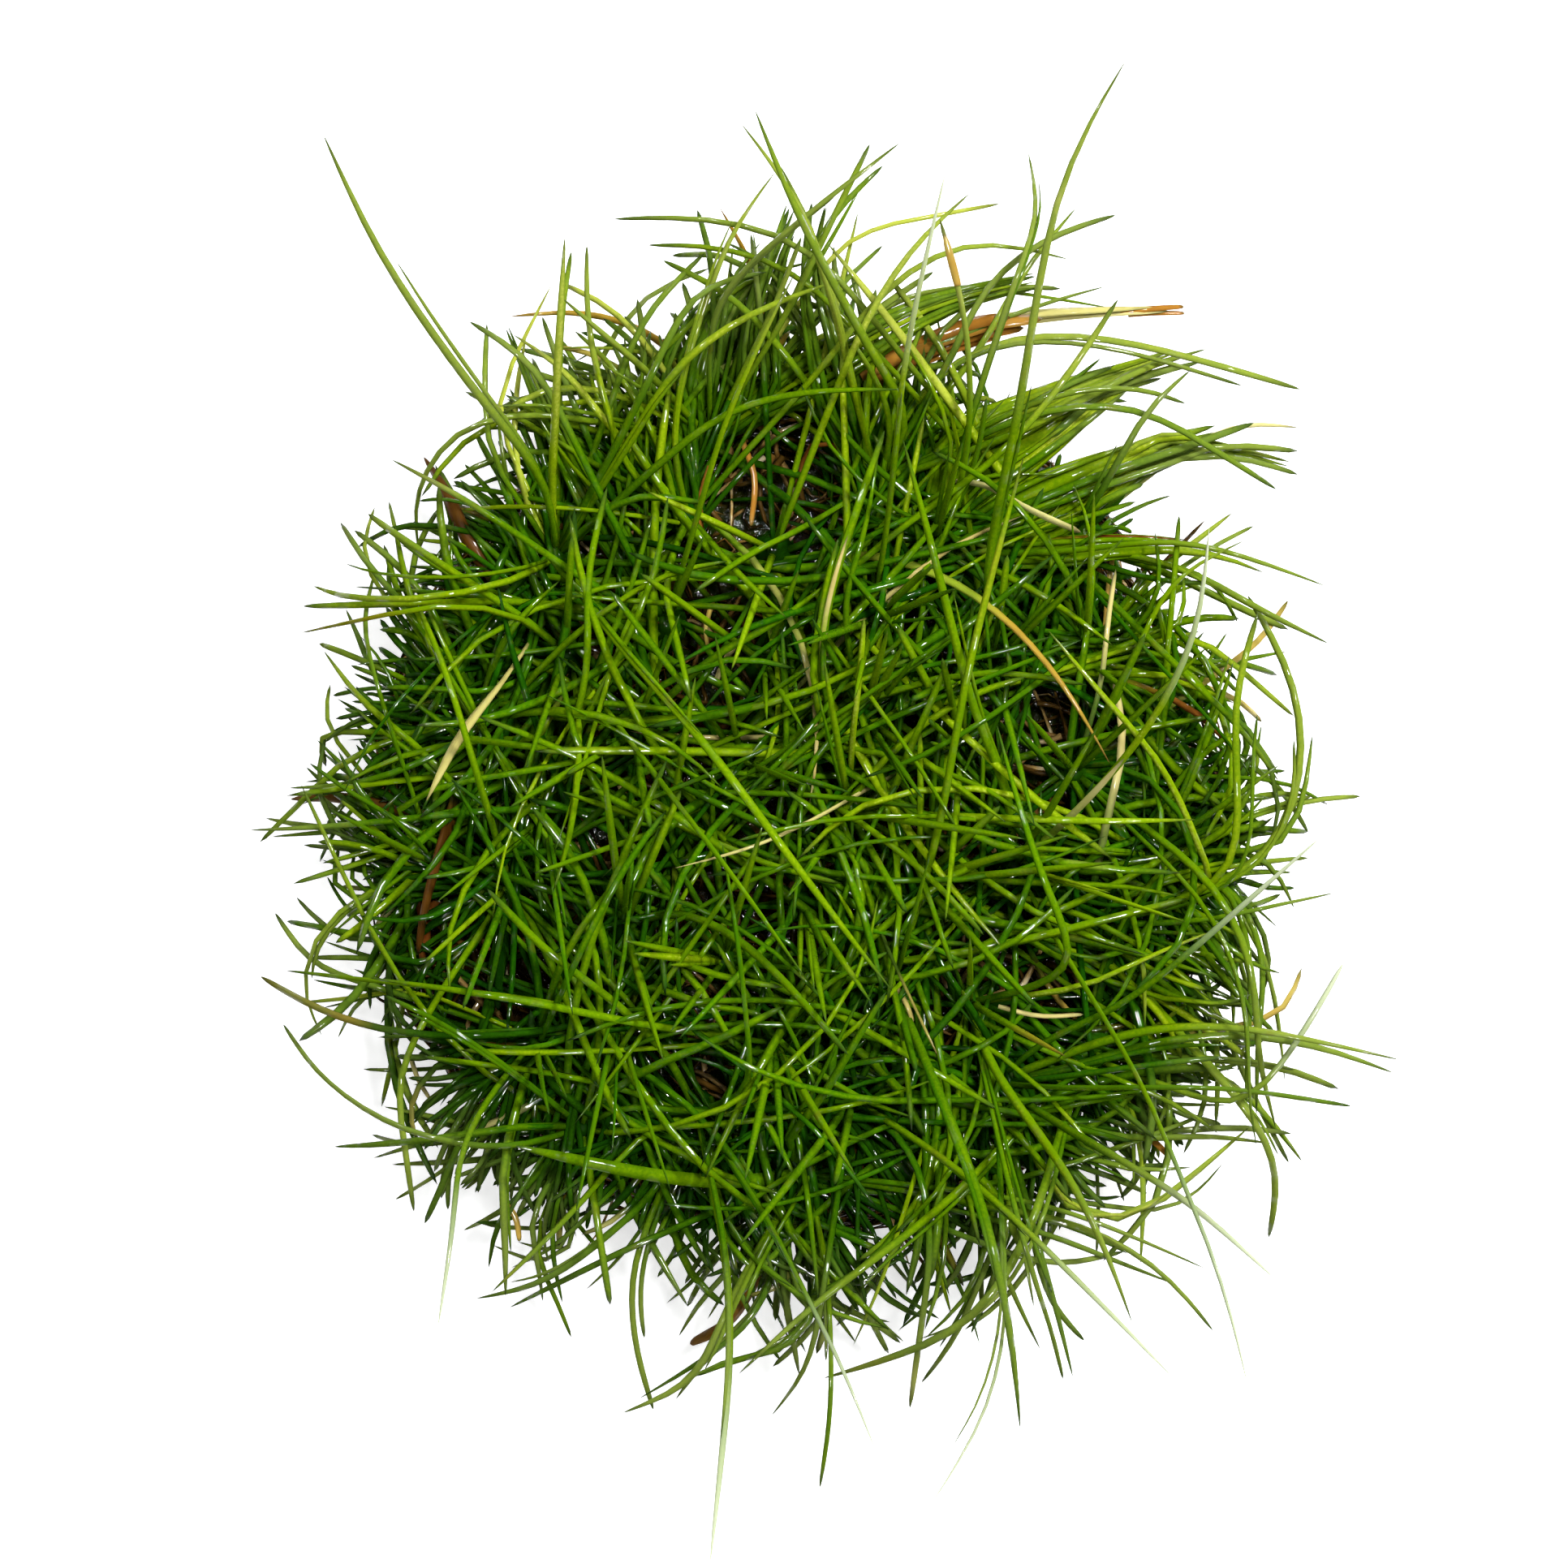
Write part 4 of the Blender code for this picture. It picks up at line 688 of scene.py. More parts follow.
    (0.40, 0.40, 5, (1000, 1590), (1030, 1620), (1055, 1655)),
    (0.40, 0.40, 5, (1060, 1600), (1078, 1635), (1095, 1668)),
    (0.40, 0.40, 6, (1200, 1590), (1180, 1635), (1157, 1661)),
    (0.40, 0.40, 6, (1180, 1580), (1195, 1620), (1207, 1656)),
    (0.80, 0.45, 7, (1145, 1530), (1155, 1560), (1172, 1620)),
    (0.60, 0.45, 7, (1230, 1550), (1255, 1605), (1282, 1663)),
    (0.40, 0.45, 6, (1290, 1590), (1312, 1632), (1336, 1652)),
    (0.40, 0.40, 7, (1290, 1520), (1360, 1548), (1450, 1583)),
    (0.40, 0.45, 9, (1300, 1505), (1350, 1520), (1390, 1545)),
    (0.40, 0.40, 8, (1260, 1550), (1310, 1550), (1385, 1542)),
    (0.25, 0.50, 12, (600, 1085), (545, 1130), (500, 1135), (440, 1128)),
    (0.35, 0.50, 12, (570, 1010), (540, 1060), (500, 1100), (470, 1130)),
    (0.40, 0.50, 13, (640, 1040), (580, 1072), (520, 1082)),
    (0.60, 0.50, 16, (1032, 930), (1012, 890), (1003, 840), (1001, 800), (1008, 760), (1022, 728)),
    (0.42, 0.55, 16, (1040, 930), (1022, 880), (1013, 830), (1014, 785), (1022, 742)),
    (0.50, 0.40, 16, (1040, 760), (1058, 690), (1072, 620), (1082, 560)),
)

# Dry strips along the back of a traced leaf: its tip's pixel, where the strip starts and ends as shares of
# the leaf, how dry it is, the colour's share from rust to straw, the strip's radius in mm and how slender
# its leaf is
STRIPS = (
    ((1090, 530), 0.30, 0.74, 0.95, 0.80, 0.17, 0.55),
    ((1158, 270), 0.82, 0.97, 3.0, 0.50, 0.26, 1.0),
    ((1490, 650), 0.0, 0.45, 0.85, 0.95, 0.24, 1.0),
)

# Dry strips and stubs among the leaves: the colour's share from rust to straw, the radius and the height at
# either end in mm, the pixels
FLAKES = (
    (0.02, 0.36, 8.8, (512, 1092), (520, 1120), (524, 1150), (520, 1186)),
    (0.05, 0.34, 8.4, (536, 1110), (528, 1135), (514, 1165)),
    (0.22, 0.46, (9.6, 10.6), (1070, 458), (1130, 426), (1165, 410), (1200, 398), (1245, 391)),
    (0.34, 0.46, (9.8, 10.4), (1060, 462), (1120, 434), (1170, 416), (1220, 400), (1285, 393)),
    (0.20, 0.42, (9.6, 9.8), (1075, 466), (1130, 440), (1190, 416), (1262, 404)),
    (0.28, 0.36, (9.0, 9.6), (1080, 472), (1130, 448), (1180, 428), (1230, 414)),
    (1.00, 0.22, (9.8, 6.6), (1160, 418), (1230, 402), (1300, 392), (1380, 386), (1440, 383)),
    (0.28, 0.20, (7.4, 6.5), (1380, 386), (1415, 381), (1459, 378)),
    (0.24, 0.18, (7.2, 6.3), (1390, 388), (1420, 386), (1460, 386)),
    (0.08, 0.16, 9.6, (1060, 560), (1000, 545), (985, 590), (975, 640)),
    (0.30, 0.20, 9.6, (915, 545), (930, 590), (925, 650)),
    (0.15, 0.20, 9.4, (880, 560), (862, 620), (868, 680)),
    (0.85, 0.20, 9.6, (905, 795), (890, 820), (878, 850)),
    (0.60, 0.16, 10.0, (880, 735), (870, 770), (872, 800)),
    (0.12, 0.20, 9.6, (1180, 680), (1188, 730), (1185, 770)),
    (0.50, 0.18, 9.4, (1370, 690), (1364, 740), (1360, 800)),
    (0.80, 0.18, 9.0, (750, 945), (770, 980), (785, 1010)),
    (0.90, 0.15, 11.6, (1230, 1240), (1280, 1252), (1335, 1250)),
    (0.70, 0.16, 12.0, (1105, 1215), (1118, 1240), (1125, 1260)),
    (0.95, 0.16, 6.0, (505, 1300), (515, 1330), (530, 1355)),
    (0.50, 0.20, 9.0, (620, 1480), (635, 1500), (640, 1530)),
    (0.30, 0.22, 9.0, (1395, 1390), (1420, 1405), (1440, 1425)),
)

# Wet leaves drawn together to a point: their tone, how many, the bundle's width at its foot and at its point,
# the point's height, then the pixels along it
CLUMPS = (
    (0.60, 38, 5.2, 0.7, 7, (1180, 590), (1260, 535), (1340, 487), (1400, 457), (1450, 441)),
    (0.61, 30, 4.4, 0.7, 7, (1270, 640), (1350, 592), (1420, 556), (1500, 531)),
    (0.60, 9, 2.0, 0.5, 6, (1400, 563), (1470, 549), (1540, 560), (1590, 572)),
    (0.60, 10, 2.2, 0.6, 8, (1290, 680), (1400, 668), (1470, 673), (1560, 700)),
    (0.30, 10, 3.2, 1.0, 9, (950, 470), (935, 400), (955, 330), (985, 260)),
    (0.32, 10, 3.2, 1.0, 10, (1030, 480), (1015, 400), (1000, 330), (1010, 250)),
    (0.30, 14, 4.0, 1.0, 8, (850, 480), (870, 410), (905, 355), (960, 325)),
    (0.44, 14, 4.0, 1.0, 9, (1060, 440), (1120, 400), (1190, 370), (1280, 352)),
    (0.44, 10, 2.5, 0.7, 8, (700, 560), (670, 500), (650, 440), (630, 400)),
    (0.56, 4, 1.6, 0.6, 7, (1000, 1620), (950, 1645), (893, 1670), (800, 1727)),
)

# Where the view shows a leaf whose tip has gone pale, and one whose end has gone tan
PALE_TIPS = (
    (1165, 212), (1145, 1857), (1570, 1575), (1537, 1705), (1445, 1697), (540, 1633), (875, 1925),
    (1078, 1785), (1655, 1187), (1627, 1032), (1490, 650),
)
TAN_TIPS = ((1158, 270),)

# Where the tangle is thin: the pixel in its middle, how far it reaches in mm, and the share left out
HOLLOWS = (
    (925, 600, 4.4, 0.92), (870, 790, 3.7, 0.93), (590, 1180, 4.0, 0.90), (905, 1200, 2.8, 0.90),
    (1315, 940, 3.2, 0.90), (1290, 1240, 3.0, 0.85), (545, 1150, 2.8, 0.85), (700, 620, 2.6, 0.7),
    (1120, 1050, 2.2, 0.7), (840, 1330, 2.4, 0.7), (1060, 1450, 3.2, 0.88), (1200, 1230, 2.2, 0.7),
    (700, 790, 2.0, 0.7), (760, 930, 2.0, 0.7), (1390, 700, 2.2, 0.7), (710, 1400, 2.2, 0.7),
    (740, 1050, 2.0, 0.75), (770, 1465, 2.2, 0.75), (1230, 1080, 2.0, 0.7), (940, 530, 2.2, 0.7),
    (985, 1110, 2.0, 0.6),
)

# How far the close-grown leaves reach from the foot of the eye, in mm, every 15 degrees from the right round
THICKET = (
    28.2, 26.1, 24.6, 24.0, 26.0, 29.5, 32.1, 29.3, 29.4, 27.5, 26.4, 25.8,
    28.3, 26.7, 28.7, 31.0, 30.8, 28.8, 32.2, 33.2, 32.6, 32.0, 32.3, 28.8,
)


def spot(px, py, height):
    """The place, in mm, of what the view from above shows at a pixel, if it is that high."""
    scale = MM_PER_PIXEL * (EYE_HEIGHT - height) / (EYE_HEIGHT - CANOPY_HEIGHT)
    return np.array((EYE_X + (px - VIEW_MIDDLE) * scale, EYE_Y - (py - VIEW_MIDDLE) * scale, height))


def mat_edge(bearing):
    """The mat's radius at a bearing in radians: nearly round, with a few broad dents."""
    waves = sum(share * np.sin(count * bearing + phase) for share, count, phase in MAT_WAVES)
    dents = sum(depth * np.exp(-(((bearing - middle) / spread) ** 2)) for middle, spread, depth in MAT_DENTS)
    return MAT_RADIUS * (1 + waves - dents)


def mat_lump(x, y):
    """How far the matted roots bulge above or below the turned shape, in mm."""
    return MAT_LUMP * (np.sin(0.55 * x + 0.4) * np.cos(0.62 * y - 0.3) + 0.5 * np.sin(1.1 * x - 0.8 * y))


def mat_top(x, y):
    """The height of the mat's upper side, or 0 beyond its edge."""
    share = np.hypot(x, y) / mat_edge(np.arctan2(y, x))
    outs, ups = zip(*[(out, up) for out, up in reversed(MAT_PROFILE) if up > 0.3])
    height = np.interp(share, outs, ups) * MAT_THICKNESS + mat_lump(x, y)
    return np.where(share < 1, height, 0.0)


def crown_places():
    """Where the tufts stand, from a sunflower's spacing with the rows broken up."""
    places = []
    for n in range(TUFT_COUNT):
        radius = TUFT_FIELD_RADIUS * math.sqrt((n + 0.6) / TUFT_COUNT)
        bearing = n * GOLDEN_ANGLE + 0.06 * math.sin(2.7 * n)
        radius += 0.2 * math.sin(1.9 * n + 1.0)
        x, y = radius * math.cos(bearing), radius * math.sin(bearing)
        aside = CROWN_RADIUS * np.array((-1, 0, 1))
        around = mat_top(x + aside[:, None], y + aside)
        places.append(np.array((x, y, around.max() + GAP)))
    return places


def smooth(knots, count):
    """That many points, evenly spaced along a Catmull-Rom curve through the knots."""
    knots = np.asarray(knots, float)
    ends = np.vstack((2 * knots[0] - knots[1], knots, 2 * knots[-1] - knots[-2]))
    t = np.linspace(0, 1, 12, endpoint=False)[:, None]
    dense = []
    for a, b, c, d in zip(ends[:-3], ends[1:-2], ends[2:-1], ends[3:]):
        dense.append(
            0.5 * (2 * b + (c - a) * t + (2 * a - 5 * b + 4 * c - d) * t**2 + (3 * b - a - 3 * c + d) * t**3)
        )
    dense = np.vstack((*dense, knots[-1:]))
    along = np.concatenate(([0], np.cumsum(np.linalg.norm(np.diff(dense, axis=0), axis=1))))
    wanted = np.linspace(0, along[-1], count)
    return np.stack([np.interp(wanted, along, dense[:, k]) for k in range(3)], axis=1)


def needle_radii(width, count):
    """The leaf's radius at each of its points, from the crown to the tip."""
    shares, sizes = zip(*NEEDLE)
    return SECTION_SHARE * width / 2 * np.interp(np.linspace(0, 1, count), shares, sizes)


def leaf_points(root, tip, pixels, arch):
    """The leaf's line from its root through the traced pixels, rising in an arch to its tip's height."""
    flat = np.array([root[:2]] + [spot(px, py, CANOPY_HEIGHT)[:2] for px, py in pixels])
    steps = np.linalg.norm(np.diff(flat, axis=0), axis=1)
    share = np.concatenate(([0], np.cumsum(steps))) / steps.sum()
    heights = root[2] + (tip - root[2]) * share + arch * 4 * share * (1 - share)
    knots = [root] + [spot(px, py, high) for (px, py), high in zip(pixels, heights[1:])]
    count = 4 + sum(steps.sum() > limit for limit in MORE_POINTS_OVER)
    return smooth(knots, count)


def apart(a0, a1, b0, b1):
    """The least distance between straight pieces a0-a1 and b0-b1, for arrays of them."""
    da, db, r = a1 - a0, b1 - b0, a0 - b0
    aa, bb, ab = (da * da).sum(-1), (db * db).sum(-1), (da * db).sum(-1)
    ar, br = (da * r).sum(-1), (db * r).sum(-1)
    across = aa * bb - ab * ab
    s = np.clip((ab * br - ar * bb) / np.where(across > 1e-9, across, 1e9), 0, 1)
    t = np.clip((ab * s + br) / bb, 0, 1)
    s = np.clip((ab * t - ar) / aa, 0, 1)
    return np.linalg.norm(r + da * s[..., None] - db * t[..., None], axis=-1)


class Crowd:
    """What already stands on the mat: straight lengths with a radius and the number of their piece."""

    def __init__(self):
        self.starts, self.ends = np.empty((0, 3)), np.empty((0, 3))
        self.radii, self.names = np.empty(0), np.empty(0, int)

    def add(self, points, radii, name):
        self.starts = np.vstack((self.starts, points[:-1]))
        self.ends = np.vstack((self.ends, points[1:]))
        self.radii = np.concatenate((self.radii, np.maximum(radii[:-1], radii[1:])))
        self.names = np.concatenate((self.names, np.full(len(points) - 1, name)))

    def leaves_room(self, points, radii, name):
        """True if a tube there is clear of the other pieces, of the mat and of the table."""
        fine = smooth(points, FINE_POINTS)
        thick = np.interp(np.linspace(0, 1, FINE_POINTS), np.linspace(0, 1, len(radii)), radii)
        beyond_crown = np.hypot(*(fine - fine[0])[:, :2].T) > CROWN_RADIUS
        room_below = fine[:, 2] - thick - mat_top(fine[:, 0], fine[:, 1])
        if (room_below[beyond_crown] < GAP).any() or (fine[:, 2] - thick < GAP).any():
            return False
        other = self.names != name
        if not other.any():
            return True
        gap = apart(points[:-1, None], points[1:, None], self.starts[other][None], self.ends[other][None])
        size = np.maximum(radii[:-1], radii[1:])[:, None] + self.radii[other][None]
        return bool((gap - size > LEAF_GAP).all())


def likely_crowns(crowns, counts, pixels):
    """The tufts that a traced leaf may belong to: behind its lower end, in line with it, and not yet full."""
    first, second = (spot(px, py, CANOPY_HEIGHT)[:2] for px, py in pixels[:2])
    heading = (second - first) / np.linalg.norm(second - first)
    costs = []
    for crown, count in zip(crowns, counts):
        back = first - crown[:2]
        along = back @ heading
        aside = np.linalg.norm(back - along * heading)
        behind = OFF_DISTANCE * abs(along - USUAL_DISTANCE) + (IN_FRONT if along < 0 else 0)
        costs.append(ASIDE * aside + behind + EACH_LEAF * count)
    return [int(n) for n in np.argsort(costs)[:TUFTS_TRIED]]


def settle(crowd, root, row, name):
    """A traced leaf's points and radii, its arch and tip nudged until it is clear of the crowd, or None."""
    width, tip, *pixels = row
    if np.linalg.norm(spot(*pixels[0], CANOPY_HEIGHT)[:2] - root[:2]) < TOO_NEAR:
        pixels = pixels[1:]
    reach = np.linalg.norm(spot(*pixels[-1], CANOPY_HEIGHT)[:2] - root[:2])
    for tip_nudge in TIP_NUDGES:
        for nudge in NUDGES:
            arch = ARCH_BASE + ARCH_SHARE * reach + nudge
            points = leaf_points(root, max(tip + tip_nudge, LOWEST_TIP), pixels, arch)
            radii = needle_radii(width, len(points))
            if crowd.leaves_room(points, radii, name):
                return points, radii
    return None


def extra_leaf(crowd, rng, root, name):
    """One short upright leaf to fill out a tuft, clear of the crowd, or None."""
    for _ in range(EXTRA_TRIES):
        bearing, lean = rng.uniform(0, 2 * math.pi), rng.uniform(*EXTRA_LEAN)
        length, width = rng.uniform(*EXTRA_LENGTH), rng.uniform(*EXTRA_WIDTH)
        out = np.array((math.cos(bearing), math.sin(bearing), 0.0))
        middle = root + length * 0.5 * (out * math.sin(lean * 0.7) + np.array((0, 0, math.cos(lean * 0.7))))
        end = middle + length * 0.5 * (out * math.sin(lean * 1.3) + np.array((0, 0, math.cos(lean * 1.3))))
        points = smooth((root, middle, end), 4)
        radii = needle_radii(width, len(points))
        if crowd.leaves_room(points, radii, name):
            return points, radii
    return None


def grow():
    """The whole plant as lines: crowns, each tuft's leaves and the dead leaves."""
    rng = np.random.default_rng(SEED)
    crowd, crowns = Crowd(), crown_places()
    for n, crown in enumerate(crowns):
        column = np.array((crown + (0, 0, 0.3), crown + (0, 0, CROWN_HEIGHT - 0.3)))
        crowd.add(column, np.full(2, CROWN_RADIUS), n)
    counts = [0] * TUFT_COUNT
    leaves = [[] for _ in crowns]
    dead = []
    for n, row in enumerate(DEAD_LEAVES):
        first = spot(*row[2], CANOPY_HEIGHT)
        for near in likely_crowns(crowns, counts, row[2:]):
            side = first[:2] - crowns[near][:2]
            x, y = crowns[near][:2] + side / np.linalg.norm(side) * (CROWN_RADIUS + row[0] + GAP)
            root = np.array((x, y, float(mat_top(x, y)) + GAP + row[0] * 0.75))
            grown = settle(crowd, root, row, TUFT_COUNT + n)
            if grown:
                crowd.add(*grown, TUFT_COUNT + n)
                dead.append(grown)
                break
        else:
            print("no room for dead leaf", row)
    for row in LEAVES:
        for n in likely_crowns(crowns, counts, row[2:]):
            grown = settle(crowd, crowns[n] + (0, 0, CROWN_HEIGHT * 0.5), row, n)
            if grown:
                crowd.add(*grown, n)
                leaves[n].append(grown)
                counts[n] += 1
                break
        else:
            print("no room for leaf", row)
    for n, crown in enumerate(crowns):
        while len(leaves[n]) < LEAST_LEAVES:
            grown = extra_leaf(crowd, rng, crown + (0, 0, CROWN_HEIGHT * 0.5), n)
            if grown is None:
                break
            crowd.add(*grown, n)
            leaves[n].append(grown)
    return crowns, leaves, dead


def deselect():
    """Nothing selected and nothing active, so that an operator acts on the new piece alone."""
    for thing in bpy.context.view_layer.objects:
        thing.select_set(False)
    bpy.context.view_layer.objects.active = None


def pick(thing):
    """Only this piece selected, and active."""
    deselect()
    thing.select_set(True)
    bpy.context.view_layer.objects.active = thing


def blank(name, sides, cuts):
    """An upright tube of radius 1 and height 1, cut at these heights and drawn to a point at the top."""
    deselect()
    bpy.ops.mesh.primitive_cylinder_add(vertices=sides, radius=1, depth=1, location=(0, 0, 0.5))
    tube = bpy.context.object
    tube.name = name
    bpy.ops.object.transform_apply(location=True)
    bpy.ops.object.mode_set(mode="EDIT")
    for height in cuts:
        bpy.ops.mesh.select_all(action="SELECT")
        bpy.ops.mesh.bisect(plane_co=(0, 0, height), plane_no=(0, 0, 1))
    bpy.ops.mesh.select_all(action="DESELECT")
    shell = bmesh.from_edit_mesh(tube.data)
    for vert in shell.verts:
        vert.select = vert.co.z > BLANK_END
    shell.select_flush(True)
    bmesh.update_edit_mesh(tube.data)
    bpy.ops.mesh.merge(type="CENTER")
    bpy.ops.object.mode_set(mode="OBJECT")
    return tube


class Shape:
    """A blank's points and faces, ready to be copied along many lines."""

    def __init__(self, tube):
        mesh = tube.data
        self.points = np.array([vert.co[:] for vert in mesh.vertices])
        self.faces = [tuple(face.vertices) for face in mesh.polygons]
        self.turn = np.arctan2(self.points[:, 1], self.points[:, 0]) / (2 * math.pi)
        bpy.data.objects.remove(tube)


def at_shares(values, shares):
    """What a row of places or ways comes to at shares of its length."""
    steps = np.linspace(0, 1, len(values))
    return np.stack([np.interp(shares, steps, values[:, k]) for k in range(3)], axis=1)


def spline(points, shares):
    """Points at given shares of the length of a smooth curve through the line's, and its directions there."""
    fine = smooth(points, SPLINE_POINTS)
    ways = at_shares(np.gradient(fine, axis=0), shares)
    return at_shares(fine, shares), ways / np.linalg.norm(ways, axis=1)[:, None]


class Piece:
    """One piece that many copies of blanks are gathered into, with what its material reads from each."""

    def __init__(self, name):
        self.name = name
        self.points, self.faces, self.facts, self.strips = [], [], [], []
        self.total = 0

    def add(self, shape, line, radius, facts, outline=POINTED, flat=ROOT_FLATNESS, twist=0.0, lean=0.0):
        """A copy of the blank along a line. flat squeezes its section, and twist turns it over its length."""
        t = shape.points[:, 2]
        centre, way = spline(line, t)
        size = radius * np.interp(t, *zip(*outline))
        level = np.cross(way, (0, 0, 1.0))
        short = np.linalg.norm(level, axis=1) < NEARLY_UPRIGHT
        level[short] = np.cross(way[short], (1.0, 0, 0))
        level /= np.linalg.norm(level, axis=1)[:, None]
        upper = np.cross(level, way)
        turn = lean + twist * t
        side = level * np.cos(turn)[:, None] + upper * np.sin(turn)[:, None]
        over = upper * np.cos(turn)[:, None] - level * np.sin(turn)[:, None]
        x, y = shape.points[:, 0] * size, shape.points[:, 1] * size * flat
        self.points.append(centre + side * x[:, None] + over * y[:, None])
        self.faces.extend([tuple(n + self.total for n in face) for face in shape.faces])
        self.total += len(t)
        self.facts.append(np.tile(facts, (len(t), 1)))
        self.strips.append(np.stack((shape.turn, t), axis=1))

    def map_copies(self, mesh):
        """A map round and along each copy, and a map for the bake, a strip of it for each copy."""
        strips = np.vstack(self.strips)
        owner = np.concatenate([np.full(len(part), n) for n, part in enumerate(self.strips)])
        corners = np.empty(len(mesh.loops), np.int32)
        mesh.loops.foreach_get("vertex_index", corners)
        first = np.empty(len(mesh.polygons), np.int32)
        mesh.polygons.foreach_get("loop_start", first)
        around, along = strips[corners, 0] % 1.0, strips[corners, 1]
        start = np.repeat(around[first], np.diff(np.append(first, len(corners))))
        around = np.where(around - start > 0.5, around - 1, around)
        around = np.where(around - start < -0.5, around + 1, around)
        columns = math.ceil(math.sqrt(len(self.strips) * STRIP_SHAPE))
        rows = math.ceil(len(self.strips) / columns)
        column, row = owner[corners] % columns, owner[corners] // columns
        across = np.clip((around - AROUND_START) / AROUND_SPAN, 0, 1)
        u = (column + MARGIN_ACROSS + (1 - 2 * MARGIN_ACROSS) * across) / columns
        v = (row + MARGIN_ALONG + (1 - 2 * MARGIN_ALONG) * along) / rows
        for name, places in (("leaf", (around, along)), ("OFBake", (u, v))):
            layer = mesh.uv_layers.new(name=name)
            layer.data.foreach_set("uv", np.stack(places, axis=1).astype(np.float32).ravel())

    def build(self, material, slot, nodes=()):
        """The finished piece, in the place of its nodes."""
        mesh = bpy.data.meshes.new(self.name)
        places = np.vstack(self.points)
        places[:, 2] = np.maximum(places[:, 2], LEAST_HEIGHT)
        mesh.from_pydata(places * MM, [], self.faces)
        facts = np.vstack(self.facts)
        for k, fact in enumerate(FACTS):
            told = mesh.attributes.new(fact, "FLOAT", "POINT").data
            told.foreach_set("value", facts[:, k].astype(np.float32))
        self.map_copies(mesh)
        mesh.update()
        made = bpy.data.objects.new(self.name, mesh)
        bpy.context.scene.collection.objects.link(made)
        made.data.materials.append(material)
        pick(made)
        bpy.ops.object.shade_smooth()
        bpy.ops.object.mode_set(mode="EDIT")
        bpy.ops.mesh.select_all(action="SELECT")
        bpy.ops.mesh.normals_make_consistent(inside=False)
        bpy.ops.object.mode_set(mode="OBJECT")
        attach(made, "root")
        if nodes:
            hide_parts(*nodes)


class Nodes:
    """Short ways to write a material's nodes."""

    def __init__(self, name):
        self.material = bpy.data.materials.new(name)
        self.material.use_nodes = True
        self.tree = self.material.node_tree
        self.shader = self.tree.nodes["Principled BSDF"]

    def new(self, kind, **settings):
        node = self.tree.nodes.new(kind)
        for key, value in settings.items():
            setattr(node, key, value)
        return node

    def link(self, output, socket):
        self.tree.links.new(output, socket)

    def feed(self, value, socket):
        """The socket linked to another's value, or set to a number or a colour."""
        if isinstance(value, bpy.types.NodeSocket):
            self.link(value, socket)
        elif isinstance(value, tuple):
            socket.default_value = (*value, 1)
        else:
            socket.default_value = value

    def fact(self, name):
        return self.new("ShaderNodeAttribute", attribute_name=name).outputs["Fac"]

    def leaf_map(self):
        return self.new("ShaderNodeUVMap", uv_map="leaf").outputs["UV"]

    def place(self):
        return self.new("ShaderNodeTexCoord").outputs["Object"]

    def span(self, value, low, high, at_low, at_high):
        """A value carried from one range to another and held at its ends."""
        node = self.new("ShaderNodeMapRange")
        for key, amount in (("From Min", low), ("From Max", high), ("To Min", at_low), ("To Max", at_high)):
            node.inputs[key].default_value = amount
        self.link(value, node.inputs["Value"])
        return node.outputs["Result"]

    def split(self, place):
        node = self.new("ShaderNodeSeparateXYZ")
        self.link(place, node.inputs["Vector"])
        return node.outputs

    def ramp(self, factor, *stops):
        node = self.new("ShaderNodeValToRGB")
        ramp = node.color_ramp
        while len(ramp.elements) < len(stops):
            ramp.elements.new(0.5)
        for element, (place, colour) in zip(ramp.elements, stops):
            element.position = place
            element.color = (*colour, 1)
        self.link(factor, node.inputs["Fac"])
        return node.outputs["Color"]

    def grey(self, factor, *stops):
        return self.ramp(factor, *[(place, (value,) * 3) for place, value in stops])

    def mix(self, factor, first, second, way="MIX"):
        node = self.new("ShaderNodeMix", data_type="RGBA", blend_type=way)
        for value, socket in ((factor, 0), (first, 6), (second, 7)):
            self.feed(value, node.inputs[socket])
        return node.outputs[2]

    def math(self, way, first, second=0.0):
        node = self.new("ShaderNodeMath", operation=way)
        self.feed(first, node.inputs[0])
        self.feed(second, node.inputs[1])
        return node.outputs[0]

    def plus(self, first, second):
        return self.math("ADD", first, second)

    def less(self, first, second):
        return self.math("SUBTRACT", first, second)

    def times(self, first, second):
        return self.math("MULTIPLY", first, second)

    def wobble(self, noise, amount):
        """A noise turned into a push either way of nothing."""
        return self.times(self.less(noise, 0.5), amount)

    def noise(self, scale, detail, stretch=None, place=None):
        """A noise over the object's place, or over the leaf's own map."""
        place = place or self.place()
        if stretch:
            mapping = self.new("ShaderNodeMapping")
            mapping.inputs["Scale"].default_value = stretch
            self.link(place, mapping.inputs["Vector"])
            place = mapping.outputs["Vector"]
        node = self.new("ShaderNodeTexNoise")
        node.inputs["Scale"].default_value = scale
        node.inputs["Detail"].default_value = detail
        self.link(place, node.inputs["Vector"])
        return node.outputs["Fac"]

    def bump(self, height, strength, distance, *more_sockets):
        node = self.new("ShaderNodeBump")
        node.inputs["Strength"].default_value = strength
        node.inputs["Distance"].default_value = distance
        self.link(height, node.inputs["Height"])
        for socket in ("Normal", *more_sockets):
            self.link(node.outputs["Normal"], self.shader.inputs[socket])

    def set(self, **values):
        for key, value in values.items():
            self.feed(value, self.shader.inputs[key.replace("_", " ")])


def painted_side_light(n, x, y, outer):
    """Painted light and shade: how much lighter the green is on the side the light comes from, and darker on
    the other, most of all far out.
    """
    towards = n.plus(n.times(x, LIGHT_SIDE[0]), n.times(y, LIGHT_SIDE[1]))
    side = n.span(towards, -LIGHT_REACH, LIGHT_REACH, *LIGHT_TONES)
    return n.times(n.span(outer, 0.0, 1.0, 0.5, 1.0), side)


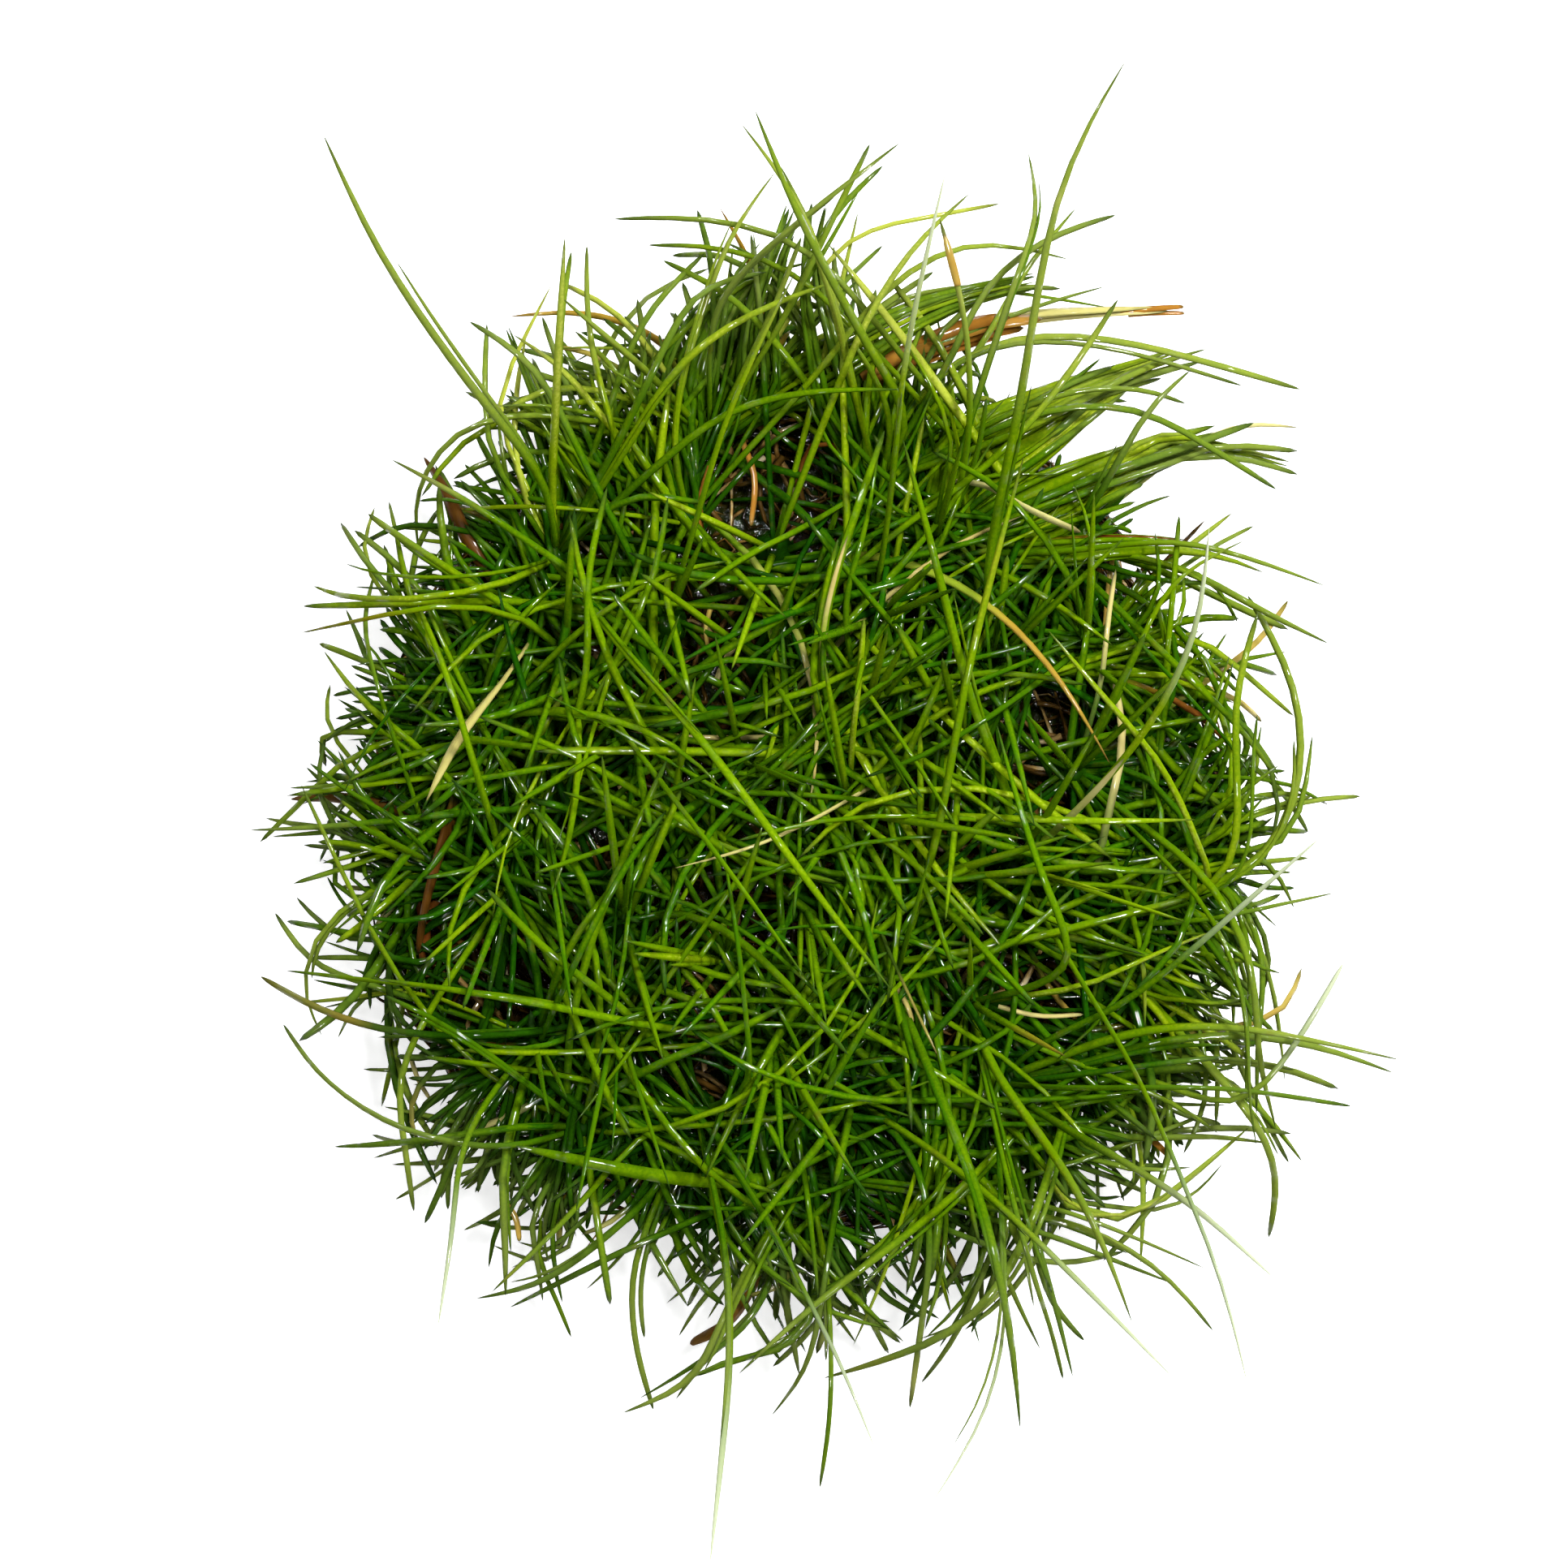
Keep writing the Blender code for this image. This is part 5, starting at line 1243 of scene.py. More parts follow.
def painted_highlight_line(n, around, speck):
    """A speckled painted highlight: a lighter line along the leaf's back."""
    back = n.math("POWER", n.math("MAXIMUM", n.math("SINE", n.times(around, 2 * math.pi)), 0.0), 3.0)
    return n.times(back, n.grey(speck, (0.3, 0.02), (0.7, 0.15)))


def leaf_material():
    """Wet living needle: dark green to yellow-green, speckled, painted highlight along its back, painted
    shade low down.
    """
    n = Nodes("wet_needle")
    around, along, _ = n.split(n.leaf_map())
    x, y, height = n.split(n.place())
    away = n.math("POWER", n.plus(n.times(x, x), n.times(y, y)), 0.5)
    outer = n.span(away, *OUTER, 0.0, 1.0)
    inner = n.less(1.0, outer)
    # Painted shade: darker low down among the leaves, away from the rim
    low = n.times(n.span(height, *PAINTED_SHADE_HEIGHTS, 1.0, 0.0), inner)
    cloud, speck, worn = n.noise(*CLOUDS), n.noise(*SPECKS), n.noise(*WEAR)
    tone = n.plus(n.fact("tone"), n.wobble(cloud, 0.34))
    # A painted highlight along each leaf's back, and fine specks
    tone = n.plus(n.plus(tone, painted_highlight_line(n, around, speck)), n.wobble(speck, 0.10))
    # Takes off the painted shade low down, and adds the painted light and shade by side
    tone = n.plus(n.less(tone, n.times(low, PAINTED_SHADE_DEPTH)), painted_side_light(n, x, y, outer))
    green = n.ramp(tone, *GREENS)
    cooler = n.times(n.grey(n.fact("chance"), (0.35, 0.0), (0.9, 1.0)), n.span(tone, 0.3, 0.65, 1.0, 0.15))
    green = n.mix(n.times(cooler, inner), green, COOLER, "MULTIPLY")
    green = n.mix(n.times(outer, 0.8), green, OUTER_TINT, "MULTIPLY")
    # Painted glow far out, standing for the table's light coming through the leaves
    beyond = n.times(n.span(away, *BEYOND, 0.0, GLOW_TAKEN), n.span(n.fact("chance"), 0.1, 0.6, 0.2, 1.0))
    green = n.mix(beyond, green, PAINTED_GLOW)
    scuffed = n.mix(n.grey(worn, (0.62, 0.0), (0.8, 0.5)), green, SCUFFED)
    dry = n.ramp(n.plus(n.fact("chance"), n.wobble(worn, 0.3)), *DRY_LEAF)
    ends = n.times(n.fact("dry"), n.grey(along, (0.0, 0.35), (0.5, 0.6), (0.8, 1.0), (1.0, 1.0)))
    patched = n.plus(ends, n.wobble(cloud, 0.5))
    aged = n.mix(n.grey(patched, (0.4, 0.0), (0.8, 1.0)), scuffed, dry)
    paled = n.mix(n.times(n.fact("pale"), n.grey(along, (0.6, 0.0), (1.0, 1.0))), aged, PALE_TIP)
    dark_end = n.times(n.grey(along, (0.90, 0.0), (0.99, 0.75)), n.less(1.0, n.fact("pale")))
    n.set(
        Base_Color=n.mix(dark_end, paled, DARK_TIP),
        Roughness=n.grey(speck, (0.3, 0.40), (0.7, 0.55)),
        IOR=LEAF_IOR,
        Specular_IOR_Level=0.0,
        Coat_Weight=n.grey(n.noise(*LEAF_WET), (0.54, 0.0), (0.60, 1.0)),
        Coat_Roughness=WET_ROUGHNESS,
        Coat_IOR=LEAF_IOR,
    )
    n.bump(speck, 0.25, 0.00003, "Coat Normal")
    return n.material


def dead_material():
    """Dead needle: tan, gold or rust, blotched, with darker ends and long fibres."""
    n = Nodes("dead_needle")
    along = n.split(n.leaf_map())[1]
    blotch = n.noise(*BLOTCHES)
    colour = n.ramp(n.fact("tone"), *DEAD_COLOURS)
    early = n.span(n.less(along, n.fact("pale")), -0.12, 0.0, 1.0, 0.0)
    colour = n.mix(early, colour, YELLOWED)
    colour = n.mix(n.fact("chance"), colour, DEAD_DARKER, "MULTIPLY")
    darker = n.mix(n.grey(blotch, (0.45, 0.0), (0.75, 0.6)), colour, BLOTCH)
    fibres = n.noise(1.0, 2, FIBRE_STRETCH, n.leaf_map())
    streaked = n.mix(n.grey(fibres, (0.4, 0.0), (0.7, 0.6)), darker, colour)
    tipped = n.mix(n.grey(along, (0.93, 0.0), (1.0, 0.7)), streaked, DEAD_TIP)
    turned = n.less(along, n.fact("dry"))
    n.set(
        Base_Color=n.mix(n.span(turned, -0.12, 0.0, 1.0, 0.0), tipped, STILL_GREEN),
        Roughness=n.grey(blotch, (0.3, 0.34), (0.7, 0.60)),
        Specular_IOR_Level=0.03,
        Coat_Weight=n.grey(n.noise(*DEAD_WET), (0.55, 0.02), (0.62, 0.9)),
        Coat_Roughness=WET_ROUGHNESS,
    )
    n.bump(fibres, 0.5, 0.00006)
    return n.material


def root_material():
    """Fine roots: wet, from white and straw to dark brown."""
    n = Nodes("fine_root")
    tone = n.plus(n.fact("tone"), n.wobble(n.noise(*ROOT_STAINS), 0.5))
    n.set(
        Base_Color=n.ramp(tone, *ROOT_COLOURS),
        Roughness=0.5,
        Specular_IOR_Level=0.0,
        Coat_Weight=n.grey(n.noise(*ROOT_WET), (0.53, 0.02), (0.58, 1.0)),
        Coat_Roughness=WET_ROUGHNESS,
    )
    return n.material


def felt_material():
    """The matted roots between the loose ones: dark, wet and fibrous."""
    n = Nodes("root_felt")
    fibres = n.noise(*FELT_FIBRES, FELT_STRETCH)
    dark = n.ramp(fibres, *FELT_COLOURS)
    n.set(
        Base_Color=n.mix(n.grey(n.noise(*FELT_LUMPS), (0.42, 0.0), (0.62, 0.8)), dark, MOSSY),
        Roughness=n.grey(fibres, (0.3, 0.35), (0.7, 0.7)),
        Specular_IOR_Level=0.0,
        Coat_Weight=n.grey(n.noise(*FELT_WET), (0.52, 0.02), (0.58, 1.0)),
        Coat_Roughness=WET_ROUGHNESS,
    )
    n.bump(fibres, 0.9, 0.0003, "Coat Normal")
    return n.material


def felt_place(x, y, z):
    """Where a point of the plain disc goes, in mm, to give it a turned, dented edge and a lumpy surface."""
    share, bearing = math.hypot(x, y) / MAT_RADIUS, math.atan2(y, x)
    if share > EDGE_SHARE:
        outs, ups = zip(*MAT_PROFILE[2:7])
        share = float(np.interp(z / MAT_THICKNESS, ups, outs))
    reach = share * float(mat_edge(bearing))
    x, y = reach * math.cos(bearing), reach * math.sin(bearing)
    if z > TOP_SHARE * MAT_THICKNESS:
        z = float(mat_top(x * JUST_INSIDE, y * JUST_INSIDE))
    (along_x, up_x), (along_y, up_y) = FELT_WAVES
    wave = WAVE_HEIGHT * math.sin(along_x * x + up_x * z) * math.sin(along_y * y + up_y * z)
    return x, y, max(z + (wave if z > WAVES_FROM else 0.0) - FELT_SUNK, 0.0)


def mat_felt(material):
    """The middle of the root mat: a thick lumpy disc with a rounded, dented edge and a flat underside."""
    deselect()
    depth = MAT_THICKNESS * MM
    bpy.ops.mesh.primitive_cylinder_add(
        vertices=FELT_SIDES, radius=MAT_RADIUS * MM, depth=depth, location=(0, 0, depth / 2)
    )
    felt = bpy.context.object
    felt.name = "root_felt"
    bpy.ops.object.transform_apply(location=True)
    bpy.ops.object.mode_set(mode="EDIT")
    for n in range(1, FELT_LAYERS):
        bpy.ops.mesh.select_all(action="SELECT")
        bpy.ops.mesh.bisect(plane_co=(0, 0, n * depth / FELT_LAYERS), plane_no=(0, 0, 1))
    bpy.ops.mesh.select_mode(type="FACE")
    for _ in range(FELT_RINGS):
        bpy.ops.mesh.select_all(action="DESELECT")
        shell = bmesh.from_edit_mesh(felt.data)
        for face in shell.faces:
            face.select = abs(face.normal.z) > FLAT_END and len(face.verts) > 4
        bmesh.update_edit_mesh(felt.data)
        bpy.ops.mesh.inset(thickness=MAT_RADIUS * MM / (FELT_RINGS + 1), depth=0)
    bpy.ops.object.mode_set(mode="OBJECT")
    for vert in felt.data.vertices:
        vert.co = [value * MM for value in felt_place(*(value / MM for value in vert.co))]
    felt.data.materials.append(material)
    pick(felt)
    soft = felt.modifiers.new("soft", "SUBSURF")
    soft.levels = soft.render_levels = 1
    bpy.ops.object.modifier_apply(modifier="soft")
    bpy.ops.object.shade_smooth()
    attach(felt, "root")
    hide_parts("root_mat")


def arc(rng, root, bearing, length, lean, droop, curl):
    """A leaf's line: it leaves the crown at a lean from upright, bends over to its droop and curls to one
    side, most of all at its end."""
    t = (np.arange(ARC_STEPS) + 0.5) / ARC_STEPS
    tilt = lean + (droop - lean) * t**ARC_EASE
    heading = bearing + curl * (t - CURL_FROM) + rng.normal(0, END_CURL_SPREAD) * t**3
    step = np.stack((np.sin(tilt) * np.cos(heading), np.sin(tilt) * np.sin(heading), np.cos(tilt)), axis=1)
    line = root + np.vstack((np.zeros(3), np.cumsum(step * length / ARC_STEPS, axis=0)))
    return line[::2]


def lifted(line, least):
    """The line raised where it would dip into the mat or the table."""
    floor = mat_top(line[:, 0], line[:, 1]) + least
    low = np.maximum(floor - line[:, 2], 0)
    low[0] = 0
    return line + np.outer(low, (0, 0, 1))


def kept_in(line, slack):
    """The line drawn back towards its foot until all of it is inside the thicket's edge, give or take, and by
    how much."""
    bearings = np.arange(len(THICKET)) * math.pi / (len(THICKET) / 2)
    for share in DRAWN_BACK:
        drawn = line[0] + (line - line[0]) * share
        x, y = drawn[:, 0] - EYE_X, drawn[:, 1] - EYE_Y
        edge = np.interp(np.arctan2(y, x), bearings, THICKET, period=2 * math.pi) + slack
        if (np.hypot(x, y) < edge).all():
            break
    return drawn, share


def pressed(line, most):
    """The line flattened until no point of it is higher than that."""
    rise = line[:, 2].max() - line[0, 2]
    room = most - line[0, 2]
    if rise > room:
        line = line.copy()
        line[:, 2] = line[0, 2] + (line[:, 2] - line[0, 2]) * room / rise
    return line


def traced_line(crowns, tip, pixels):
    """The likeliest tuft of a leaf seen from above, and its line from the crown in an arch to its tip."""
    n = likely_crowns(crowns, [0] * TUFT_COUNT, pixels)[0]
    root = crowns[n] + (0, 0, CROWN_HEIGHT * 0.5)
    if np.linalg.norm(spot(*pixels[0], CANOPY_HEIGHT)[:2] - root[:2]) < TOO_NEAR:
        pixels = pixels[1:]
    reach = np.linalg.norm(spot(*pixels[-1], CANOPY_HEIGHT)[:2] - root[:2])
    return n, leaf_points(root, tip, pixels, ARCH_BASE + ARCH_SHARE * reach)


def eased(line):
    """The line with its bends rounded and its ends kept."""
    fine = smooth(line, EASED_POINTS)
    for _ in range(EASED_ROUNDS):
        fine[1:-1] = 0.5 * fine[1:-1] + 0.25 * (fine[:-2] + fine[2:])
    return fine[::EASED_KEPT]


def near_one(point, marks, reach):
    """True if the view shows the point within that many pixels of one of the marks."""
    scale = MM_PER_PIXEL * (EYE_HEIGHT - point[2]) / (EYE_HEIGHT - CANOPY_HEIGHT)
    px, py = VIEW_MIDDLE + (point[0] - EYE_X) / scale, VIEW_MIDDLE - (point[1] - EYE_Y) / scale
    return any(math.hypot(px - mark[0], py - mark[1]) < reach for mark in marks)


def thinned(rng, line):
    """True if the line runs through a hollow and isn't one of the few that cross it."""
    for px, py, reach, share in HOLLOWS:
        middle = spot(px, py, CANOPY_HEIGHT)[:2]
        if (np.hypot(*(line[2:, :2] - middle).T) < reach).any() and rng.uniform() < share:
            return True
    return False


def twist_and_turn(rng, spreads):
    """How far a leaf twists over its length, and how far it is turned about its line."""
    return [rng.normal(0, spread) for spread in spreads]


def fitting(shapes, line):
    """The blank for a line: the finer one if it is long."""
    return shapes[int(np.linalg.norm(line[-1] - line[0]) > LONG_LEAF)]


def traced_facts(rng, tip, base_tone):
    """What a leaf that the solids have tells its material, by its tip's height and its marks."""
    mean, spread = base_tone + TRACED_LIGHTER, TRACED_TONE_SPREAD
    if tip[2] > HIGH_TIP:
        mean, spread = HIGH_TONE, HIGH_TONE_SPREAD
    pale = PALENESS if near_one(tip, PALE_TIPS, MARK_REACH) else 0.0
    tone = float(np.clip(rng.normal(mean, spread) - PALE_DARKER * pale, *TRACED_TONES))
    facts = (tone, max(0, rng.normal(0.0, TRACED_DRY_SPREAD)), pale, rng.uniform())
    return (tone, *TAN_FACTS) if near_one(tip, TAN_TIPS, MARK_REACH) else facts


def companion(rng, points, shape, facts, outline, piece):
    """A slighter leaf beside a traced one, which parts from it towards its tip."""
    aside = rng.normal(0, COMPANION_ASIDE, 3) * (1, 1, COMPANION_FLATTER)
    beside = points + np.outer(np.linspace(0, 1, len(points)), aside) * rng.uniform(*COMPANION_SPREADS)
    beside = beside[: max(3, int(len(points) * rng.uniform(*COMPANION_LENGTHS)))]
    tone = float(np.clip(rng.normal(facts[0] - COMPANION_DARKER, COMPANION_TONE_SPREAD), 0, 1))
    facts = (tone, facts[1], 0.0, rng.uniform())
    beside = lifted(beside, COMPANION_CLEARANCE)
    if not thinned(rng, beside):
        radius = rng.uniform(*COMPANION_RADIUS)
        piece.add(shape, beside, radius, facts, outline, FLATNESS, BESIDE_TWIST, rng.normal(0, BESIDE_LEAN))


def traced_leaves(rng, leaves, pieces, shapes, base_tones):
    """The leaves that the solids have, some with a dry strip, and many with a slighter one beside them."""
    for piece, base_tone, tuft in zip(pieces, base_tones, leaves):
        for points, radii in tuft:
            facts = traced_facts(rng, points[-1], base_tone)
            width = radii.max() * 2 / SECTION_SHARE
            radius = THICK_BASE + THICK_GAIN * width if width < WIDE else WIDE_SHARE * width
            radius *= PALE_THINNER if facts[2] else 1
            outline = POINTED if points[-1, 2] > TALL_TIP or rng.uniform() < TRACED_POINTED else BLUNT
            points = eased(points)
            shape = fitting(shapes, points)
            strips = [row for row in STRIPS if near_one(points[-1], row[:1], STRIP_REACH)]
            for *_, slender in strips:
                radius *= slender
            piece.add(shape, points, radius, facts, outline, FLATNESS, *twist_and_turn(rng, TRACED_TURN))
            for _, start, stop, dryness, hue, strip, _ in strips:
                back = smooth(points, STRIP_STEPS + 1)[int(STRIP_STEPS * start): int(STRIP_STEPS * stop) + 1]
                back = smooth(back + (0, 0, STRIP_RISE * radius), STRIP_POINTS)
                piece.add(shape, back, strip, (STRIP_TONE, dryness, 0.0, hue), POINTED, STRIP_FLATNESS)
            if rng.uniform() < COMPANION_CHANCE:
                companion(rng, points, shape, facts, outline, piece)


def more_leaves(rng, crowns, pieces, shapes):
    """The further single leaves."""
    for tone, width, tip, *pixels in MORE_LEAVES:
        n, line = traced_line(crowns, tip, pixels)
        line = eased(line)
        facts = (tone, 0.0, 0.0, rng.uniform()) if tone > 0 else (MORE_DEAD_TONE, 1.0, 0.0, -tone)
        shape = fitting(shapes, line)
        outline = POINTED if rng.uniform() < TRACED_POINTED else BLUNT
        line, radius = lifted(line, MORE_CLEARANCE), MORE_BASE + MORE_GAIN * width
        pieces[n].add(shape, line, radius, facts, outline, FLATNESS, *twist_and_turn(rng, MORE_TURN))


def clumped_leaves(rng, crowns, pieces, shape):
    """Wet leaves that cling together and run to one point."""
    for tone, count, foot, end, tip, *pixels in CLUMPS:
        n, line = traced_line(crowns, tip, pixels)
        line = smooth(line, CLUMP_POINTS)
        way = np.gradient(line, axis=0)
        aside = np.stack((-way[:, 1], way[:, 0], 0 * way[:, 0]), axis=1)
        aside /= np.linalg.norm(aside, axis=1)[:, None]
        widths = (CLUMP_START, foot, end, end * CLUMP_OPENS)
        spread = np.interp(np.linspace(0, 1, CLUMP_POINTS), CLUMP_SHARES, widths)
        for k in range(count):
            sheet = k % SHEET_EVERY == 0
            across, above = rng.uniform(*CLUMP_ACROSS), rng.uniform(*CLUMP_ABOVE)
            if sheet:
                across, above = SHEET_ACROSS * across, SHEET_ABOVE
            leaf = line + aside * (spread * across)[:, None] + np.outer(spread * above, (0, 0, 1))
            kept = rng.integers(SHEET_LEAST if sheet else CLUMP_LEAST, CLUMP_POINTS + 1)
            leaf = lifted(smooth(leaf[:kept], CLUMP_LEAF_POINTS), CLUMP_CLEARANCE)
            own_tone = rng.normal(tone, CLUMP_TONE_SPREAD)
            dry = 1.0 if rng.uniform() < CLUMP_DEAD_SHARE else 0.0
            facts = (own_tone, dry, 0.0, CLUMP_CHANCE * rng.uniform())
            if sheet:
                radius, facts = rng.uniform(*SHEET_RADIUS) * foot, (tone - SHEET_DARKER, 0, 0, SHEET_CHANCE)
                pieces[n].add(shape, leaf, radius, facts, POINTED, SHEET_FLATNESS)
            else:
                radius, lean = rng.uniform(*CLUMP_RADIUS), rng.normal(0, BESIDE_LEAN)
                pieces[n].add(shape, leaf, radius, facts, POINTED, FLATNESS, BESIDE_TWIST, lean)


def loose_flakes(crowns, pieces, shape):
    """Dry strips and stubs that lie among the leaves, each along its own pixels."""
    for hue, radius, heights, *pixels in FLAKES:
        first, last = heights if isinstance(heights, tuple) else (heights, heights)
        line = [spot(px, py, high) for (px, py), high in zip(pixels, np.linspace(first, last, len(pixels)))]
        line = eased(np.array(line))
        nearest = int(np.argmin([np.hypot(*(crown[:2] - line[0, :2])) for crown in crowns]))
        facts = (FLAKE_TONE, FLAKE_DRYNESS, 0.0, hue)
        pieces[nearest].add(shape, line, radius, facts, BLUNT, FLAKE_FLATNESS, FLAKE_TWIST, FLAKE_LEAN)


def about_crown(rng, crown, spread, height):
    """A leaf's foot near a crown's middle, at a share of its height."""
    return crown + (rng.normal(0, spread), rng.normal(0, spread), CROWN_HEIGHT * height)


def skirt_leaves(rng, crown, outward, piece, shape):
    """Dark low leaves that hang over the mat's edge, down to the table, lighter on the far side by painted
    light.
    """
    for _ in range(SKIRT_LEAVES):
        start = about_crown(rng, crown, SKIRT_FOOT_SPREAD, SKIRT_FOOT_HEIGHT)
        bearing, length = outward + rng.normal(0, SKIRT_BEARING_SPREAD), rng.uniform(*SKIRT_LENGTH)
        lean, droop = rng.uniform(*SKIRT_LEAN), rng.uniform(*SKIRT_DROOP)
        line = arc(rng, start, bearing, length, lean, droop, rng.normal(0, SKIRT_CURL))
        line, _ = kept_in(line, min(rng.normal(SKIRT_SLACK_MEAN, SKIRT_SLACK_SPREAD), 0.0))
        line = lifted(pressed(line, crown[2] + SKIRT_RISE), SKIRT_CLEARANCE)
        # Painted light: lighter on the far side
        tone = SKIRT_TONE + SKIRT_PAINTED_LIGHT_FAR * max(0, math.sin(outward)) + rng.normal(0, SKIRT_TONE_SPREAD)
        tone = float(np.clip(tone, *SKIRT_TONES))
        facts = (tone, max(0, rng.normal(0, SKIRT_DRY_SPREAD)), 0.0, rng.uniform())
        radius = rng.uniform(*SKIRT_RADIUS)
        piece.add(shape, line, radius, facts, BLUNT, FLATNESS, *twist_and_turn(rng, FILL_TURN))


def fill_line(rng, crown, growth, high, combed, streams):
    """A further leaf's line, drawn again while the thicket's edge would cut it short."""
    slack = min(rng.normal(SLACK_MEAN, SLACK_SPREAD), SLACK_MOST)
    for _ in range(growth.tries):
        bearing = rng.uniform(0, 2 * math.pi)
        if growth is RIM and rng.uniform() < COMBED_SHARE:
            bearing = combed + rng.normal(0, COMBED_SPREAD)
        elif rng.uniform() < STREAM_SHARE:
            bearing = streams[rng.integers(STREAMS)] + rng.normal(0, STREAM_SPREAD)
        length, lean = rng.uniform(*growth.length), rng.uniform(*growth.lean)
        droop = rng.uniform(*growth.droop)
        if high:
            length += rng.uniform(*growth.longer)
        start = about_crown(rng, crown, FOOT_SPREAD, FOOT_HEIGHT)
        line = arc(rng, start, bearing, length, lean, droop, rng.normal(0, growth.curl))
        line, share = kept_in(line, slack)
        if share > ENOUGH_KEPT:
            break
    return line


def fill_leaves(rng, crowns, pieces, shape, base_tones):
    """The further leaves of the tangle: some long and high, most shorter, lower and darker."""
    for crown, piece, base_tone in zip(crowns, pieces, base_tones):
        x, y = crown[:2] - (EYE_X, EYE_Y)
        growth = RIM if np.hypot(x, y) > RIM_FROM else INNER
        outward = math.atan2(y, x)
        if growth is RIM:
            skirt_leaves(rng, crown, outward, piece, shape)
        combed = outward + rng.normal(0, COMBED_TURN)
        streams = rng.uniform(0, 2 * math.pi, STREAMS)
        for _ in range(growth.leaves):
            high = rng.uniform() < growth.high
            line = fill_line(rng, crown, growth, high, combed, streams)
            far = np.hypot(*line[-1, :2]) / CANOPY_REACH
            canopy = (HIGH_CANOPY if high else LOW_CANOPY) - CANOPY_FALL * far * far
            line = lifted(pressed(line, canopy + rng.normal(0, CANOPY_SPREAD)), FILL_CLEARANCE)
            if thinned(rng, line):
                continue
            # Painted light and shade: high leaves lighter, low ones darker
            tone = rng.normal(base_tone + (HIGH_PAINTED_LIGHT if high else LOW_PAINTED_SHADE), FILL_TONE_SPREAD)
            dry = 1.0 if rng.uniform() < DEAD_SHARE else max(0, rng.normal(0.0, FILL_DRY_SPREAD))
            facts = (float(np.clip(tone, *FILL_TONES)), dry, 0.0, rng.uniform())
            radius = THINNEST + growth.thicker * rng.beta(*THICKNESS_DRAW)
            outline = POINTED if rng.uniform() < growth.pointed else BLUNT
            piece.add(shape, line, radius, facts, outline, FLATNESS, *twist_and_turn(rng, FILL_TURN))


def grow_tufts(rng, crowns, leaves, shapes, knob, material):
    """A piece for each tuft, in its node's place."""
    pieces = [Piece(f"leaves_{n + 1:02d}") for n in range(TUFT_COUNT)]
    base_tones = rng.uniform(*BASE_TONES, TUFT_COUNT)
    traced_leaves(rng, leaves, pieces, shapes, base_tones)
    more_leaves(rng, crowns, pieces, shapes)
    clumped_leaves(rng, crowns, pieces, shapes[0])
    loose_flakes(crowns, pieces, shapes[0])
    fill_leaves(rng, crowns, pieces, shapes[0], base_tones)
    for n, (crown, piece) in enumerate(zip(crowns, pieces)):
        stand = np.array((crown, crown + (0, 0, CROWN_HEIGHT * 0.5), crown + (0, 0, CROWN_HEIGHT)))
        facts = (CROWN_TONE, 0.0, 0.0, rng.uniform())
        piece.add(knob, stand - (0, 0, CROWN_SUNK), 1.0, facts, KNOB, 1.0)
        piece.build(material, "leaf_green", [f"tuft_{n + 1:02d}"])


def lay_dead(rng, dead, shape, material):
    """A piece for each dead leaf, its outline a little ragged, in its node's place."""
    for n, ((points, radii), look) in enumerate(zip(dead, DEAD_LOOKS), 1):
        tone, flat, twist, thicker, green, yellowed, dark = look
        piece = Piece(f"dead_needle_{n:02d}")
        outline = BLUNT if n in BLUNT_DEAD else POINTED
        outline = [(share, size * (1 + DEAD_RAGGED * rng.normal())) for share, size in outline]
        facts = (tone, green, yellowed, dark)
        piece.add(shape, eased(points), radii.max() * thicker, facts, outline, flat, twist, rng.uniform(0, 1))
        piece.build(material, "leaf_dead", [f"dead_leaf_{n:02d}"])


def roots_on_top(rng, shape, piece):
    """Fine roots that wander over the mat."""
    for _ in range(ROOTS_ON_TOP):
        away, bearing = ROOTS_REACH * math.sqrt(rng.uniform()), rng.uniform(0, 2 * math.pi)
        x, y = away * math.cos(bearing), away * math.sin(bearing)
        way, bend, step = rng.uniform(0, 2 * math.pi), rng.normal(0, ROOT_BEND), rng.uniform(*ROOT_STEP)
        line = []
        for _ in range(ROOT_POINTS):
            line.append((x, y, float(mat_top(x, y)) + rng.uniform(*ROOT_LIFT)))
            x, y = x + step * math.cos(way), y + step * math.sin(way)
            way += bend + rng.normal(0, ROOT_WANDER)
        line = np.array([place for place in line if math.hypot(*place[:2]) < ROOTS_END])
        if len(line) > LEAST_ROOT_POINTS:
            radius = rng.uniform(*ROOT_RADIUS)
            piece.add(shape, line, radius, (rng.beta(*TOP_ROOT_DRAW), 0, 0, rng.uniform()), ROOT)


def litter(rng, shape, piece):
    """Dead stubs that lie in the hollows of the tangle."""
    for px, py, reach, _ in HOLLOWS:
        for _ in range(LITTER):
            x, y = spot(px, py, CANOPY_HEIGHT)[:2] + rng.normal(0, reach * LITTER_SPREAD, 2)
            way, bend = rng.uniform(0, 2 * math.pi), rng.normal(0, LITTER_BEND)
            line = []
            for _ in range(LITTER_POINTS):
                line.append((x, y, float(mat_top(x, y)) + LITTER_BASE + rng.uniform(*LITTER_LIFT)))
                x, y = x + LITTER_STEP * math.cos(way), y + LITTER_STEP * math.sin(way)
                way += bend
            radius = rng.uniform(*LITTER_RADIUS)
            piece.add(shape, np.array(line), radius, (rng.uniform(*LITTER_TONES), 0, 0, 0.5), ROOT)


